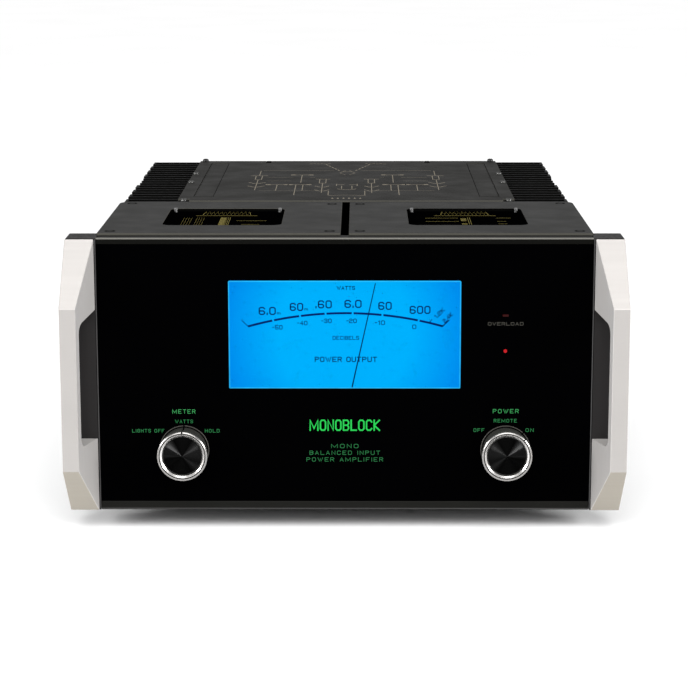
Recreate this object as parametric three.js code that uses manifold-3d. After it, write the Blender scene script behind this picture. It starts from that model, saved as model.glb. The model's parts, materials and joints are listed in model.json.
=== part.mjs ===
// Monoblock power amplifier: a full-width hi-fi component with a glass front, a large power meter,
// two rotary switches, carrying handles, two transformer cans and finned heat sinks.
// Units are millimetres. +X is the right-hand side seen from the front, +Y goes to the back, +Z is up.
// While the pieces are made, Y = 0 is the face of the front glass and Z = 0 is the surface it stands on.
// At the end the whole group is moved along Y, so that the origin is under the middle of the object.
import * as THREE from "three";
import { mergeVertices } from "three/addons/utils/BufferGeometryUtils.js";
import Module from "manifold-3d";

const wasm = await Module();
wasm.setup();

// ---------------------------------------------------------------- driving dimensions
const GAP = 0.3; // clearance between pieces that touch
const SHEET = 2; // thickness of the folded steel sheet

const PANEL_HALF_WIDTH = 222.25;
const PANEL_BOTTOM = 17.5;
const PANEL_TOP = 240.7;
const RAIL_INNER_X = 198.2;
const RAIL_DEPTH = 28.5;

const GLASS_HALF_WIDTH = RAIL_INNER_X - GAP;
const GLASS_BOTTOM = 25.3;
const GLASS_TOP = 235.6;
const GLASS_THICKNESS = 6;
const TRIM_DEPTH = 8;

const WINDOW_HALF_WIDTH = 93.3;
const WINDOW_BOTTOM = 118.4;
const WINDOW_TOP = 206.8;

const PIVOT_Z = 91; // needle pivot, below the window
const NEEDLE_LENGTH = 114.8;
const NEEDLE_TAIL = 12;
const NEEDLE_REST_DEG = 12.4; // clockwise from upright, seen from the front
const NEEDLE_Y = 8.6;
const DIAL_Y = 12.4;

const KNOB_X = 129.8;
const KNOB_Z = 68.4;
const KNOB_DEPTH = 24.8;
const KNOB_RING_RADIUS = 20.15;
const KNOB_FACE_RADIUS = 16.3;
const KNOB_GRIP_RADIUS = 17.5;
const KNOB_FLANGE_RADIUS = 19.4;
const SHAFT_RADIUS = 3;

const LAMP_X = 128.8;
const OVERLOAD_Z = 178.4;
const STANDBY_Z = 149.4;

const HANDLE_INNER_X = 199.45;
const HANDLE_FRONT_X = 210.75; // inner edge of the narrow front face
const HANDLE_REACH = 37.5; // how far the handle stands out from the glass
const HANDLE_FACE_TOP = 190.3;
const HANDLE_FACE_BOTTOM = 58.9;
const HANDLE_BAR = 6.2; // thickness of the bar that the fingers close round
const SLOT_BOTTOM = 77.4;
const SLOT_TOP_FRONT = 175.3;
const SLOT_FILLET = 7;
const SLOT_TOP_BACK = 183;

const BODY_HALF_WIDTH = 198;
const BODY_FRONT = 24;
const BODY_BACK = 504.6;
const TRAY_BOTTOM = 18;
const TRAY_TOP = 84;
const DECK_Z = TRAY_TOP + GAP;
const UPPER_Z = DECK_Z + SHEET + GAP; // underside of everything that stands on the deck

const COVER_INNER_X = 3.4;
const COVER_OUTER_X = 199.4;
const COVER_FRONT = 20;
const COVER_BACK = 206;
const COVER_TOP = 242;
const COVER_SKIRT = 10;
const COVER_SHEET = 1.6;
const LABEL = { x0: 52.5, x1: 151, y0: 64, y1: 163, radius: 8, recess: 4.5, thickness: 1.6 };
const LABEL_GLASS_TOP = COVER_TOP - LABEL.recess;

const TOP_COVER_HALF_WIDTH = 149.6;
const TOP_COVER_FRONT = 207.3;
const TOP_COVER_BACK = 504.5;
const TOP_COVER_TOP = 242.8;
const TOP_COVER_NOTCH = 10.5;

const SINK_BASE_X = 140;
const SINK_FIN_X = 150;
const SINK_TIP_X = 197;
const SINK_TOP = 241;
const FIN_COUNT = 19;
const FIN_PITCH = 16.3;
const FIN_THICKNESS = 2.6;
const FIN_FIRST_Y = 213.5;
const PAIRED_FINS = 8; // fins at each end that are bridged in pairs at their tips

const REAR_Y = 505;
const REAR_THICKNESS = 3;
const REAR_FACE = REAR_Y + REAR_THICKNESS;
const SOCKET_Z = 51;
const TERMINAL_X = [50, 88, 126, 164];
const STUD_END = 534;

const FOOT_RADIUS = 20;
const FOOT_X = 165;
const FOOT_Y = [88, 462];

// ---------------------------------------------------------------- finishes
const finish = (color, roughness, metalness) =>
  new THREE.MeshStandardMaterial({ color, roughness, metalness });

const finishes = {
  glass: finish(0x050505, 0.06, 0),
  clear: finish(0x9fc6e8, 0.05, 0),
  silver: finish(0xd8d4cf, 0.35, 1),
  blackMetal: finish(0x2a2a2b, 0.45, 0.6),
  cover: finish(0x464646, 0.4, 0.5),
  anodised: finish(0x1c1c1b, 0.5, 0.7),
  steel: finish(0xaeb0b2, 0.35, 1),
  dial: finish(0x0099ff, 0.6, 0),
  darkPlastic: finish(0x141414, 0.4, 0),
  chrome: finish(0xf0f0f0, 0.1, 1),
  needle: finish(0x101a38, 0.4, 0),
  lamp: finish(0xd01818, 0.3, 0),
  board: finish(0x1f5a34, 0.6, 0),
  core: finish(0x5a4a40, 0.6, 0.4),
  sleeve: finish(0x22304a, 0.5, 0),
  gold: finish(0xd8b25a, 0.25, 1),
  rubber: finish(0x101010, 0.9, 0),
};

// ---------------------------------------------------------------- shape helpers
function block(x0, x1, y0, y1, z0, z1) {
  const box = new THREE.BoxGeometry(x1 - x0, y1 - y0, z1 - z0);
  return box.translate((x0 + x1) / 2, (y0 + y1) / 2, (z0 + z1) / 2);
}

// A round rod along Y.
function rod(radius, x, z, y0, y1, sides = 24) {
  const cylinder = new THREE.CylinderGeometry(radius, radius, y1 - y0, sides);
  return cylinder.translate(0, (y0 + y1) / 2, 0).translate(x, 0, z);
}

function rectangle(u0, u1, v0, v1, radius = 0) {
  const shape = new THREE.Shape();
  if (radius === 0) {
    shape.moveTo(u0, v0).lineTo(u1, v0).lineTo(u1, v1).lineTo(u0, v1);
    return shape.closePath();
  }
  shape.moveTo(u0 + radius, v0);
  shape.absarc(u1 - radius, v0 + radius, radius, -Math.PI / 2, 0);
  shape.absarc(u1 - radius, v1 - radius, radius, 0, Math.PI / 2);
  shape.absarc(u0 + radius, v1 - radius, radius, Math.PI / 2, Math.PI);
  shape.absarc(u0 + radius, v0 + radius, radius, Math.PI, 1.5 * Math.PI);
  return shape;
}

function circle(u, v, radius) {
  return new THREE.Path().absarc(u, v, radius, 0, 2 * Math.PI);
}

function extrude(shape, depth, curveSegments) {
  return new THREE.ExtrudeGeometry(shape, { depth, curveSegments, bevelEnabled: false });
}

// The shape's (u, v) is (x, z); the plate fills y0 to y1.
function uprightPlate(shape, y0, y1, curveSegments = 4) {
  return extrude(shape, y1 - y0, curveSegments).rotateX(Math.PI / 2).translate(0, y1, 0);
}

// The shape's (u, v) is (x, y); the plate fills z0 to z1.
function levelPlate(shape, z0, z1, curveSegments = 4) {
  return extrude(shape, z1 - z0, curveSegments).translate(0, 0, z0);
}

// The shape's (u, v) is (y, z); the plate fills x0 to x1.
function sidePlate(shape, x0, x1, curveSegments = 4) {
  const turn = new THREE.Matrix4().makeBasis(
    new THREE.Vector3(0, 1, 0),
    new THREE.Vector3(0, 0, 1),
    new THREE.Vector3(1, 0, 0),
  );
  return extrude(shape, x1 - x0, curveSegments).applyMatrix4(turn).translate(x0, 0, 0);
}

// A round piece about the Y axis. The profile's points are [radius, y].
function turned(profile, sides) {
  const points = profile.map(([radius, y]) => new THREE.Vector2(radius, y));
  return new THREE.LatheGeometry(points, sides);
}

function toSolid(geometry) {
  const plain = geometry.clone();
  plain.deleteAttribute("normal");
  plain.deleteAttribute("uv");
  const merged = mergeVertices(plain, 1e-4);
  return new wasm.Manifold(
    new wasm.Mesh({
      numProp: 3,
      vertProperties: new Float32Array(merged.attributes.position.array),
      triVerts: new Uint32Array(merged.index.array),
    }),
  );
}

function toGeometry(solid) {
  const mesh = solid.getMesh();
  const geometry = new THREE.BufferGeometry();
  geometry.setAttribute("position", new THREE.BufferAttribute(mesh.vertProperties, 3));
  geometry.setIndex(new THREE.BufferAttribute(mesh.triVerts, 1));
  geometry.computeVertexNormals();
  return geometry;
}

function join(first, ...others) {
  return toGeometry(others.reduce((solid, next) => solid.add(toSolid(next)), toSolid(first)));
}

function cut(first, ...others) {
  return toGeometry(others.reduce((solid, next) => solid.subtract(toSolid(next)), toSolid(first)));
}

function common(first, second) {
  return toGeometry(toSolid(first).intersect(toSolid(second)));
}

const amplifier = new THREE.Group();

function add(name, geometry, material) {
  const mesh = new THREE.Mesh(geometry, material);
  mesh.name = name;
  amplifier.add(mesh);
  return mesh;
}

// The geometry is the right-hand piece; the left-hand one is its mirror image.
function addPair(name, geometry, material) {
  add(name + "_right", geometry, material);
  add(name + "_left", geometry.clone(), material).scale.x = -1;
}

// ---------------------------------------------------------------- front panel
function frontGlass() {
  const pane = rectangle(-GLASS_HALF_WIDTH, GLASS_HALF_WIDTH, GLASS_BOTTOM, GLASS_TOP);
  const lampHole = rectangle(LAMP_X - 2.6, LAMP_X + 2.6, OVERLOAD_Z - 1, OVERLOAD_Z + 1);
  pane.holes.push(
    rectangle(-WINDOW_HALF_WIDTH, WINDOW_HALF_WIDTH, WINDOW_BOTTOM, WINDOW_TOP, 2),
    circle(-KNOB_X, KNOB_Z, SHAFT_RADIUS + 2),
    circle(KNOB_X, KNOB_Z, SHAFT_RADIUS + 2),
    lampHole,
    circle(LAMP_X, STANDBY_Z, 1.7),
  );
  return uprightPlate(pane, 0, GLASS_THICKNESS);
}

function meterWindow() {
  const half = WINDOW_HALF_WIDTH - GAP;
  const pane = rectangle(-half, half, WINDOW_BOTTOM + GAP, WINDOW_TOP - GAP, 1.8);
  return uprightPlate(pane, 0.6, 3.6);
}

function trim(bottom, top) {
  return block(-GLASS_HALF_WIDTH, GLASS_HALF_WIDTH, 0, TRIM_DEPTH, bottom, top);
}

// In plan the rail is stepped at its inner back corner, to clear the can cover.
function sideRail() {
  const stepX = COVER_OUTER_X + 2 * GAP;
  const stepY = COVER_FRONT - 0.5;
  const plan = new THREE.Shape();
  plan.moveTo(RAIL_INNER_X, 0).lineTo(PANEL_HALF_WIDTH, 0);
  plan.lineTo(PANEL_HALF_WIDTH, RAIL_DEPTH).lineTo(stepX, RAIL_DEPTH);
  plan.lineTo(stepX, stepY).lineTo(RAIL_INNER_X, stepY).closePath();
  return levelPlate(plan, PANEL_BOTTOM, PANEL_TOP);
}

// The handle is a C seen from the side: a bar in front, with a finger slot open to the rail.
// In plan it is a wedge that narrows towards the front.
function handle() {
  const back = -GAP;
  const slotFront = -HANDLE_REACH + HANDLE_BAR;
  const side = new THREE.Shape();
  side.moveTo(back, PANEL_BOTTOM + GAP);
  side.lineTo(back, SLOT_BOTTOM);
  side.lineTo(slotFront + SLOT_FILLET, SLOT_BOTTOM);
  side.absarc(slotFront + SLOT_FILLET, SLOT_BOTTOM + SLOT_FILLET, SLOT_FILLET, -Math.PI / 2, -Math.PI, true);
  side.lineTo(slotFront, SLOT_TOP_FRONT - 7);
  side.quadraticCurveTo(slotFront, SLOT_TOP_FRONT, slotFront + 6, SLOT_TOP_FRONT + 2);
  side.lineTo(back, SLOT_TOP_BACK);
  side.lineTo(back, PANEL_TOP - GAP);
  side.lineTo(-HANDLE_REACH, HANDLE_FACE_TOP);
  side.lineTo(-HANDLE_REACH, HANDLE_FACE_BOTTOM);
  side.lineTo(back - 1, PANEL_BOTTOM + GAP);
  side.closePath();
  const plan = new THREE.Shape();
  plan.moveTo(HANDLE_INNER_X, 1).lineTo(HANDLE_INNER_X, 0);
  plan.lineTo(HANDLE_FRONT_X, -HANDLE_REACH).lineTo(HANDLE_FRONT_X, -HANDLE_REACH - 1);
  plan.lineTo(PANEL_HALF_WIDTH, -HANDLE_REACH - 1).lineTo(PANEL_HALF_WIDTH, 1).closePath();
  return common(
    sidePlate(side, HANDLE_INNER_X - 1, PANEL_HALF_WIDTH + 1),
    levelPlate(plan, 0, PANEL_TOP + 10),
  );
}

const SUBPANEL_Y = TRIM_DEPTH + GAP;
const SUBPANEL_BACK = SUBPANEL_Y + 2.5;
const HOUSING = { halfWidth: 99, bottom: 70, top: 212, front: GLASS_THICKNESS + GAP, back: 48, wall: 2 };

function frontSubpanel() {
  const half = GLASS_HALF_WIDTH;
  const plate = rectangle(-half, half, TRAY_BOTTOM, PANEL_TOP - GAP);
  const room = HOUSING.halfWidth + GAP;
  plate.holes.push(
    rectangle(-room, room, HOUSING.bottom - GAP, HOUSING.top + GAP),
    circle(-KNOB_X, KNOB_Z, 5),
    circle(KNOB_X, KNOB_Z, 5),
    circle(LAMP_X, OVERLOAD_Z, 3.4),
    circle(LAMP_X, STANDBY_Z, 3.4),
  );
  const flangeEnd = COVER_FRONT - 0.5;
  const top = block(-half, half, SUBPANEL_Y + 1, flangeEnd, PANEL_TOP - GAP - SHEET, PANEL_TOP - GAP);
  const bottom = block(-half, half, SUBPANEL_Y + 1, flangeEnd, TRAY_BOTTOM, TRAY_BOTTOM + SHEET);
  return join(uprightPlate(plate, SUBPANEL_Y, SUBPANEL_BACK), top, bottom);
}

// ---------------------------------------------------------------- meter
function meterHousing() {
  const { halfWidth, bottom, top, front, back, wall } = HOUSING;
  return cut(
    block(-halfWidth, halfWidth, front, back, bottom, top),
    block(-halfWidth + wall, halfWidth - wall, front - 1, back - wall, bottom + wall, top - wall),
  );
}

function meterDial() {
  const { halfWidth, bottom, top, wall } = HOUSING;
  const half = halfWidth - wall - 0.4;
  const plate = rectangle(-half, half, bottom + wall + 0.4, top - wall - 0.4);
  plate.holes.push(circle(0, PIVOT_Z, 4));
  return uprightPlate(plate, DIAL_Y, DIAL_Y + 1.2);
}

// The pointer is a long taper with a short tail, on a hub and a thin staff. It is made upright
// about the pivot, and turned to its rest angle by its mesh.
function meterNeedle() {
  const pointer = new THREE.Shape();
  pointer.moveTo(-1.6, -NEEDLE_TAIL).lineTo(1.6, -NEEDLE_TAIL);
  pointer.lineTo(0.55, 6).lineTo(0.35, NEEDLE_LENGTH).lineTo(-0.35, NEEDLE_LENGTH);
  pointer.lineTo(-0.55, 6).closePath();
  return join(
    uprightPlate(pointer, NEEDLE_Y, NEEDLE_Y + 0.8),
    rod(3.2, 0, 0, NEEDLE_Y - 1, NEEDLE_Y + 2, 16),
    rod(1.5, 0, 0, NEEDLE_Y, 24, 12),
  );
}

function meterMovement() {
  return cut(
    join(block(-17, 17, 16.4, 40, 76, 106), rod(12, 0, PIVOT_Z, 15.2, 18, 24)),
    rod(2, 0, PIVOT_Z, 15, 26, 12),
  );
}

function meterLightBoard() {
  const board = block(-94, 94, 30, 31.6, 112, 208);
  const lights = [];
  for (let column = 0; column < 6; column++) {
    for (let row = 0; row < 2; row++) {
      const x = -75 + column * 30;
      const z = 138 + row * 44;
      lights.push(block(x - 2.5, x + 2.5, 28.4, 30.5, z - 2.5, z + 2.5));
    }
  }
  return join(board, ...lights);
}

// ---------------------------------------------------------------- rotary switches
// Knob pieces are made about their own axis, and placed by their meshes.
function knob() {
  const front = -KNOB_DEPTH;
  const body = turned(
    [
      [0, front + 1.6],
      [KNOB_FACE_RADIUS - 0.2, front + 0.5],
      [KNOB_FACE_RADIUS - 0.2, front + 7],
      [KNOB_GRIP_RADIUS, front + 7],
      [KNOB_GRIP_RADIUS, -2.6],
      [KNOB_FLANGE_RADIUS, -2.6],
      [KNOB_FLANGE_RADIUS, -0.5],
      [0, -0.5],
    ],
    48,
  );
  const pointer = block(-0.7, 0.7, front, -1.6, KNOB_GRIP_RADIUS - 0.8, KNOB_FLANGE_RADIUS + 1);
  return cut(body, rod(SHAFT_RADIUS + 0.2, 0, 0, -18, 1, 16), pointer);
}

function knobRing() {
  const front = -KNOB_DEPTH;
  return turned(
    [
      [KNOB_FACE_RADIUS + 0.1, front + 0.4],
      [KNOB_FACE_RADIUS + 0.6, front],
      [KNOB_RING_RADIUS - 0.9, front],
      [KNOB_RING_RADIUS, front + 1],
      [KNOB_RING_RADIUS, front + 6.7],
      [KNOB_FACE_RADIUS + 0.1, front + 6.7],
      [KNOB_FACE_RADIUS + 0.1, front + 0.4],
    ],
    48,
  );
}

function switchShaft() {
  return rod(SHAFT_RADIUS, 0, 0, -17, 30, 16);
}

function switchBody() {
  const start = SUBPANEL_BACK + GAP;
  return cut(
    join(block(-14, 14, start, start + 26, -14, 14), rod(4.6, 0, 0, GLASS_THICKNESS + 0.6, start + 1, 16)),
    rod(SHAFT_RADIUS + 0.3, 0, 0, 0, 32, 16),
  );
}

function addSwitch(name, x, turnDeg) {
  const turn = THREE.MathUtils.degToRad(turnDeg);
  const pieces = [
    add(name + "_knob", knob(), finishes.darkPlastic),
    add(name + "_knob_ring", knobRing(), finishes.chrome),
    add(name + "_switch_shaft", switchShaft(), finishes.steel),
    add(name + "_switch_body", switchBody(), finishes.darkPlastic),
  ];
  for (const piece of pieces) piece.position.set(x, 0, KNOB_Z);
  pieces[0].rotation.y = turn;
}

// ---------------------------------------------------------------- chassis
const METER_ROOM = { halfWidth: HOUSING.halfWidth + 1, bottom: HOUSING.bottom - 1, back: HOUSING.back + 2 };

// The tray is open at the back, where the rear panel closes it. Its front wall is cut away round
// the meter housing and the two switch bodies.
function chassisTray() {
  const inner = BODY_HALF_WIDTH - SHEET;
  const frontCuts = [-KNOB_X, KNOB_X].map((x) =>
    block(x - 15, x + 15, BODY_FRONT - 1, BODY_FRONT + SHEET + 1, KNOB_Z - 15, TRAY_TOP + 1),
  );
  const { halfWidth, bottom } = METER_ROOM;
  frontCuts.push(
    block(-halfWidth, halfWidth, BODY_FRONT - 1, BODY_FRONT + SHEET + 1, bottom, TRAY_TOP + 1),
  );
  return cut(
    block(-BODY_HALF_WIDTH, BODY_HALF_WIDTH, BODY_FRONT, BODY_BACK, TRAY_BOTTOM, TRAY_TOP),
    block(-inner, inner, BODY_FRONT + SHEET, BODY_BACK + 1, TRAY_BOTTOM + SHEET, TRAY_TOP + 1),
    ...frontCuts,
  );
}

// The deck is notched at the front, round the meter housing.
function chassisDeck() {
  const { halfWidth, back } = METER_ROOM;
  const plate = new THREE.Shape();
  plate.moveTo(-BODY_HALF_WIDTH, BODY_FRONT).lineTo(-halfWidth, BODY_FRONT);
  plate.lineTo(-halfWidth, back).lineTo(halfWidth, back).lineTo(halfWidth, BODY_FRONT);
  plate.lineTo(BODY_HALF_WIDTH, BODY_FRONT).lineTo(BODY_HALF_WIDTH, BODY_BACK);
  plate.lineTo(-BODY_HALF_WIDTH, BODY_BACK).closePath();
  for (const x of [-100, 100]) plate.holes.push(circle(x, 208.5, 5));
  for (const x of [-112, 112]) plate.holes.push(circle(x, 350, 9));
  return levelPlate(plate, DECK_Z, DECK_Z + SHEET);
}

const INLET_X = -160;
const XLR_X = -98;
const RCA_X = -62;
const INPUT_SWITCH_X = -32;

// What is cut out of the rear panel for the sockets, the switch and the four output posts.
function socketCutOuts() {
  const y0 = REAR_Y - 1;
  const y1 = REAR_FACE + 1;
  const inlet = rectangle(INLET_X - 14.6, INLET_X + 14.6, SOCKET_Z - 11.1, SOCKET_Z + 11.1);
  return [
    uprightPlate(inlet, y0, y1),
    rod(11.3, XLR_X, SOCKET_Z, y0, y1),
    rod(5.3, RCA_X, SOCKET_Z, y0, y1, 16),
    rod(3.7, INPUT_SWITCH_X, SOCKET_Z, y0, y1, 16),
    ...TERMINAL_X.map((x) => rod(5, x, SOCKET_Z, y0, y1, 16)),
  ];
}

function rearPanel() {
  const upper = SINK_BASE_X - 1.5;
  const plate = new THREE.Shape();
  plate.moveTo(-BODY_HALF_WIDTH, TRAY_BOTTOM).lineTo(BODY_HALF_WIDTH, TRAY_BOTTOM);
  plate.lineTo(BODY_HALF_WIDTH, UPPER_Z - GAP).lineTo(upper, UPPER_Z - GAP);
  plate.lineTo(upper, SINK_TOP - 0.2).lineTo(-upper, SINK_TOP - 0.2);
  plate.lineTo(-upper, UPPER_Z - GAP).lineTo(-BODY_HALF_WIDTH, UPPER_Z - GAP);
  plate.closePath();
  return cut(uprightPlate(plate, REAR_Y, REAR_FACE), ...socketCutOuts());
}

function foot() {
  return turned(
    [
      [0, 0],
      [FOOT_RADIUS - 2, 0],
      [FOOT_RADIUS - 0.6, 1.4],
      [FOOT_RADIUS, TRAY_BOTTOM - GAP],
      [0, TRAY_BOTTOM - GAP],
    ],
    28,
  ).rotateX(Math.PI / 2);
}

function addFeet() {
  const rows = { front: FOOT_Y[0], rear: FOOT_Y[1] };
  for (const [row, y] of Object.entries(rows)) {
    for (const [side, sign] of [["left", -1], ["right", 1]]) {
      add("foot_" + row + "_" + side, foot(), finishes.rubber).position.set(sign * FOOT_X, y, 0);
    }
  }
}

// ---------------------------------------------------------------- transformers
// The can is open underneath, and in plan it is stepped back round the meter housing.
function transformerCan() {
  const top = LABEL_GLASS_TOP - LABEL.thickness - GAP;
  const outline = (inset) => {
    const x0 = COVER_INNER_X + 1.7 + inset;
    const x1 = COVER_OUTER_X - 2.8 - inset;
    const y0 = BODY_FRONT + SHEET + inset;
    const y1 = COVER_BACK - 6 - inset;
    const stepX = METER_ROOM.halfWidth + SHEET + inset;
    const stepY = METER_ROOM.back + 1 + inset;
    const shape = new THREE.Shape();
    shape.moveTo(x0, stepY).lineTo(stepX, stepY).lineTo(stepX, y0);
    return shape.lineTo(x1, y0).lineTo(x1, y1).lineTo(x0, y1).closePath();
  };
  return cut(
    levelPlate(outline(0), UPPER_Z, top),
    levelPlate(outline(SHEET), UPPER_Z - 1, top - SHEET),
  );
}

function labelOutline(margin) {
  const { x0, x1, y0, y1, radius } = LABEL;
  return rectangle(x0 - margin, x1 + margin, y0 - margin, y1 + margin, radius + margin);
}

// A shallow lid over the can: a flat top with a label window, and skirts folded down all round.
// The window has a rim that reaches down to the label glass. The outer back corner is rounded.
function canCover() {
  const outline = (inset) => {
    const radius = 10 - inset;
    const shape = new THREE.Shape();
    shape.moveTo(COVER_INNER_X + inset, COVER_FRONT + inset);
    shape.lineTo(COVER_OUTER_X - inset, COVER_FRONT + inset);
    shape.absarc(COVER_OUTER_X - 10, COVER_BACK - 10, radius, 0, Math.PI / 2);
    shape.lineTo(COVER_INNER_X + inset, COVER_BACK - inset);
    return shape.closePath();
  };
  const lid = cut(
    levelPlate(outline(0), COVER_TOP - COVER_SKIRT, COVER_TOP),
    levelPlate(outline(1.4), COVER_TOP - COVER_SKIRT - 1, COVER_TOP - COVER_SHEET),
  );
  const rim = levelPlate(labelOutline(1.4), LABEL_GLASS_TOP + GAP, COVER_TOP - 1);
  return cut(join(lid, rim), levelPlate(labelOutline(0), LABEL_GLASS_TOP - 1, COVER_TOP + 1));
}

function labelGlass() {
  return levelPlate(labelOutline(3), LABEL_GLASS_TOP - LABEL.thickness, LABEL_GLASS_TOP);
}

// A laminated core with its winding through it, on two mounting feet.
function transformerCore(x, coreWidth, coreHeight) {
  const middle = 126;
  const z0 = UPPER_Z + GAP;
  const z1 = z0 + coreHeight;
  const half = coreWidth / 2;
  return join(
    block(x - half, x + half, middle - 45, middle + 45, z0, z1),
    block(x - half + 20, x + half - 20, middle - 68, middle + 68, z0 + 18, z1 - 18),
    block(x - half - 8, x + half + 8, middle - 45, middle - 33, z0, z0 + 3),
    block(x - half - 8, x + half + 8, middle + 33, middle + 45, z0, z0 + 3),
  );
}

// ---------------------------------------------------------------- heat sinks and upper cover
// Seen from above: a thick base, fins standing outwards, and the end fins bridged in pairs.
function heatSink() {
  const tip = SINK_TIP_X;
  const wall = FIN_THICKNESS;
  const firstY = FIN_FIRST_Y - wall / 2;
  const lastY = firstY + (FIN_COUNT - 1) * FIN_PITCH + wall;
  const isSingle = (fin) => fin >= PAIRED_FINS && fin < FIN_COUNT - PAIRED_FINS;
  const startsPair = (fin) =>
    !isSingle(fin) && (fin < PAIRED_FINS ? fin % 2 === 0 : (FIN_COUNT - fin) % 2 === 0);
  const outline = new THREE.Shape();
  const ducts = [];
  outline.moveTo(SINK_BASE_X, firstY);
  for (let fin = 0; fin < FIN_COUNT; fin++) {
    const y = firstY + fin * FIN_PITCH;
    if (startsPair(fin)) {
      const far = y + FIN_PITCH + wall;
      outline.lineTo(fin === 0 ? SINK_BASE_X : SINK_FIN_X, y);
      outline.lineTo(tip, y).lineTo(tip, far).lineTo(SINK_FIN_X, far);
      ducts.push(rectangle(SINK_FIN_X, tip - wall, y + wall, y + FIN_PITCH));
    } else if (isSingle(fin)) {
      outline.lineTo(SINK_FIN_X, y).lineTo(tip - 1, y);
      outline.lineTo(tip - 1, y + wall).lineTo(SINK_FIN_X, y + wall);
    }
  }
  outline.lineTo(SINK_BASE_X, lastY).closePath();
  outline.holes.push(...ducts);
  return levelPlate(outline, UPPER_Z, SINK_TOP);
}

// A flat lid with a square notch in each front corner, round a screw in the heat sink, and two
// small notches in its back edge.
function topCover() {
  const half = TOP_COVER_HALF_WIDTH;
  const z0 = SINK_TOP + GAP;
  const notches = [];
  for (const side of [-1, 1]) {
    const corner = side * half;
    const cornerX = [corner - TOP_COVER_NOTCH, corner + TOP_COVER_NOTCH];
    const cornerY = TOP_COVER_FRONT + TOP_COVER_NOTCH;
    notches.push(block(...cornerX, TOP_COVER_FRONT - 1, cornerY, z0 - 1, TOP_COVER_TOP + 1));
    const backX = [side * 80 - 2.7, side * 80 + 2.7];
    notches.push(block(...backX, TOP_COVER_BACK - 16, TOP_COVER_BACK + 1, z0 - 1, TOP_COVER_TOP + 1));
  }
  return cut(block(-half, half, TOP_COVER_FRONT, TOP_COVER_BACK, z0, TOP_COVER_TOP), ...notches);
}

// ---------------------------------------------------------------- electronics
function outputBoard() {
  const x0 = SINK_BASE_X - 9;
  const board = block(x0, x0 + 1.6, 228, 490, 100, 228);
  const transistors = [];
  for (let i = 0; i < 8; i++) {
    const y = 244 + i * 32;
    transistors.push(block(x0 + 1, SINK_BASE_X - GAP, y - 8, y + 8, 118, 138));
    transistors.push(block(x0 + 1, SINK_BASE_X - GAP, y - 8, y + 8, 188, 208));
  }
  return join(board, ...transistors);
}

function capacitor() {
  const height = 112;
  return turned([[0, 0], [31, 0], [32, 1], [32, height - 2], [30, height], [0, height]], 28)
    .rotateX(Math.PI / 2);
}

function powerSupplyBoard() {
  const z = TRAY_BOTTOM + SHEET + 8;
  return join(
    block(-40, 150, 240, 430, z, z + 1.6),
    block(-20, 20, 260, 290, z, z + 24),
    block(40, 70, 260, 300, z, z + 18),
    block(90, 130, 330, 400, z, z + 30),
    block(-20, 60, 380, 392, z, z + 34),
  );
}

function inputBoard() {
  return join(
    block(-118, -20, 474, 475.6, 28, 78),
    block(-108, -88, 466, 475, 40, 62),
    block(-70, -54, 469, 475, 44, 60),
    block(-44, -30, 470, 475, 34, 50),
  );
}

// ---------------------------------------------------------------- rear sockets
function mainsInlet() {
  const plate = rectangle(INLET_X - 25, INLET_X + 25, SOCKET_Z - 15, SOCKET_Z + 15, 4);
  const back = REAR_FACE + GAP;
  return cut(
    join(
      uprightPlate(plate, back, back + 3),
      block(INLET_X - 14.2, INLET_X + 14.2, 484, back + 1, SOCKET_Z - 10.7, SOCKET_Z + 10.7),
    ),
    block(INLET_X - 12, INLET_X + 12, 492, back + 4, SOCKET_Z - 8.5, SOCKET_Z + 8.5),
  );
}

function xlrInput() {
  const plate = rectangle(XLR_X - 13, XLR_X + 13, SOCKET_Z - 15.5, SOCKET_Z + 15.5, 3);
  const back = REAR_FACE + GAP;
  return cut(
    join(uprightPlate(plate, back, back + 3), rod(11, XLR_X, SOCKET_Z, 486, back + 1)),
    rod(9.4, XLR_X, SOCKET_Z, 495, back + 4),
  );
}

function rcaInput() {
  const back = REAR_FACE + GAP;
  return cut(
    join(
      rod(8, RCA_X, SOCKET_Z, back, back + 1.6, 20),
      rod(4.9, RCA_X, SOCKET_Z, 492, back + 1, 20),
      rod(4.2, RCA_X, SOCKET_Z, back, back + 12, 20),
    ),
    rod(1.7, RCA_X, SOCKET_Z, back + 2, back + 13, 12),
  );
}

const LEVER_PIVOT_Y = REAR_FACE - 4;

function inputSwitchBody() {
  const back = REAR_FACE + GAP;
  return cut(
    join(
      block(INPUT_SWITCH_X - 4, INPUT_SWITCH_X + 4, 484, REAR_Y - 3.4, SOCKET_Z - 8, SOCKET_Z + 8),
      rod(3.3, INPUT_SWITCH_X, SOCKET_Z, REAR_Y - 4, back + 3.2, 16),
      rod(5.4, INPUT_SWITCH_X, SOCKET_Z, back, back + 1.8, 6),
    ),
    rod(2.6, INPUT_SWITCH_X, SOCKET_Z, REAR_Y - 6.5, back + 5, 16),
  );
}

// The lever leans down at rest, and turns up about a cross axis inside the bushing.
function inputSwitchLever() {
  const lever = turned([[0, -1.6], [1.1, -1.2], [1.1, 9], [1.6, 15], [1.2, 16.6], [0, 17]], 12);
  return lever.rotateX(THREE.MathUtils.degToRad(-LEVER_TILT_DEG));
}

const LEVER_TILT_DEG = 10;

// Four studs with banana sockets in their ends, on one insulating block.
function terminalBlock() {
  const back = REAR_FACE + GAP;
  const plate = rectangle(TERMINAL_X[0] - 17, TERMINAL_X[3] + 17, SOCKET_Z - 16, SOCKET_Z + 16, 5);
  const pieces = [];
  for (const x of TERMINAL_X) {
    pieces.push(rod(9, x, SOCKET_Z, back + 1, back + 5, 20));
    pieces.push(rod(4, x, SOCKET_Z, 492, STUD_END, 16));
  }
  const bores = TERMINAL_X.map((x) => rod(2.1, x, SOCKET_Z, STUD_END - 16, STUD_END + 1, 10));
  return cut(join(uprightPlate(plate, back, back + 3), ...pieces), ...bores);
}

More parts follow.
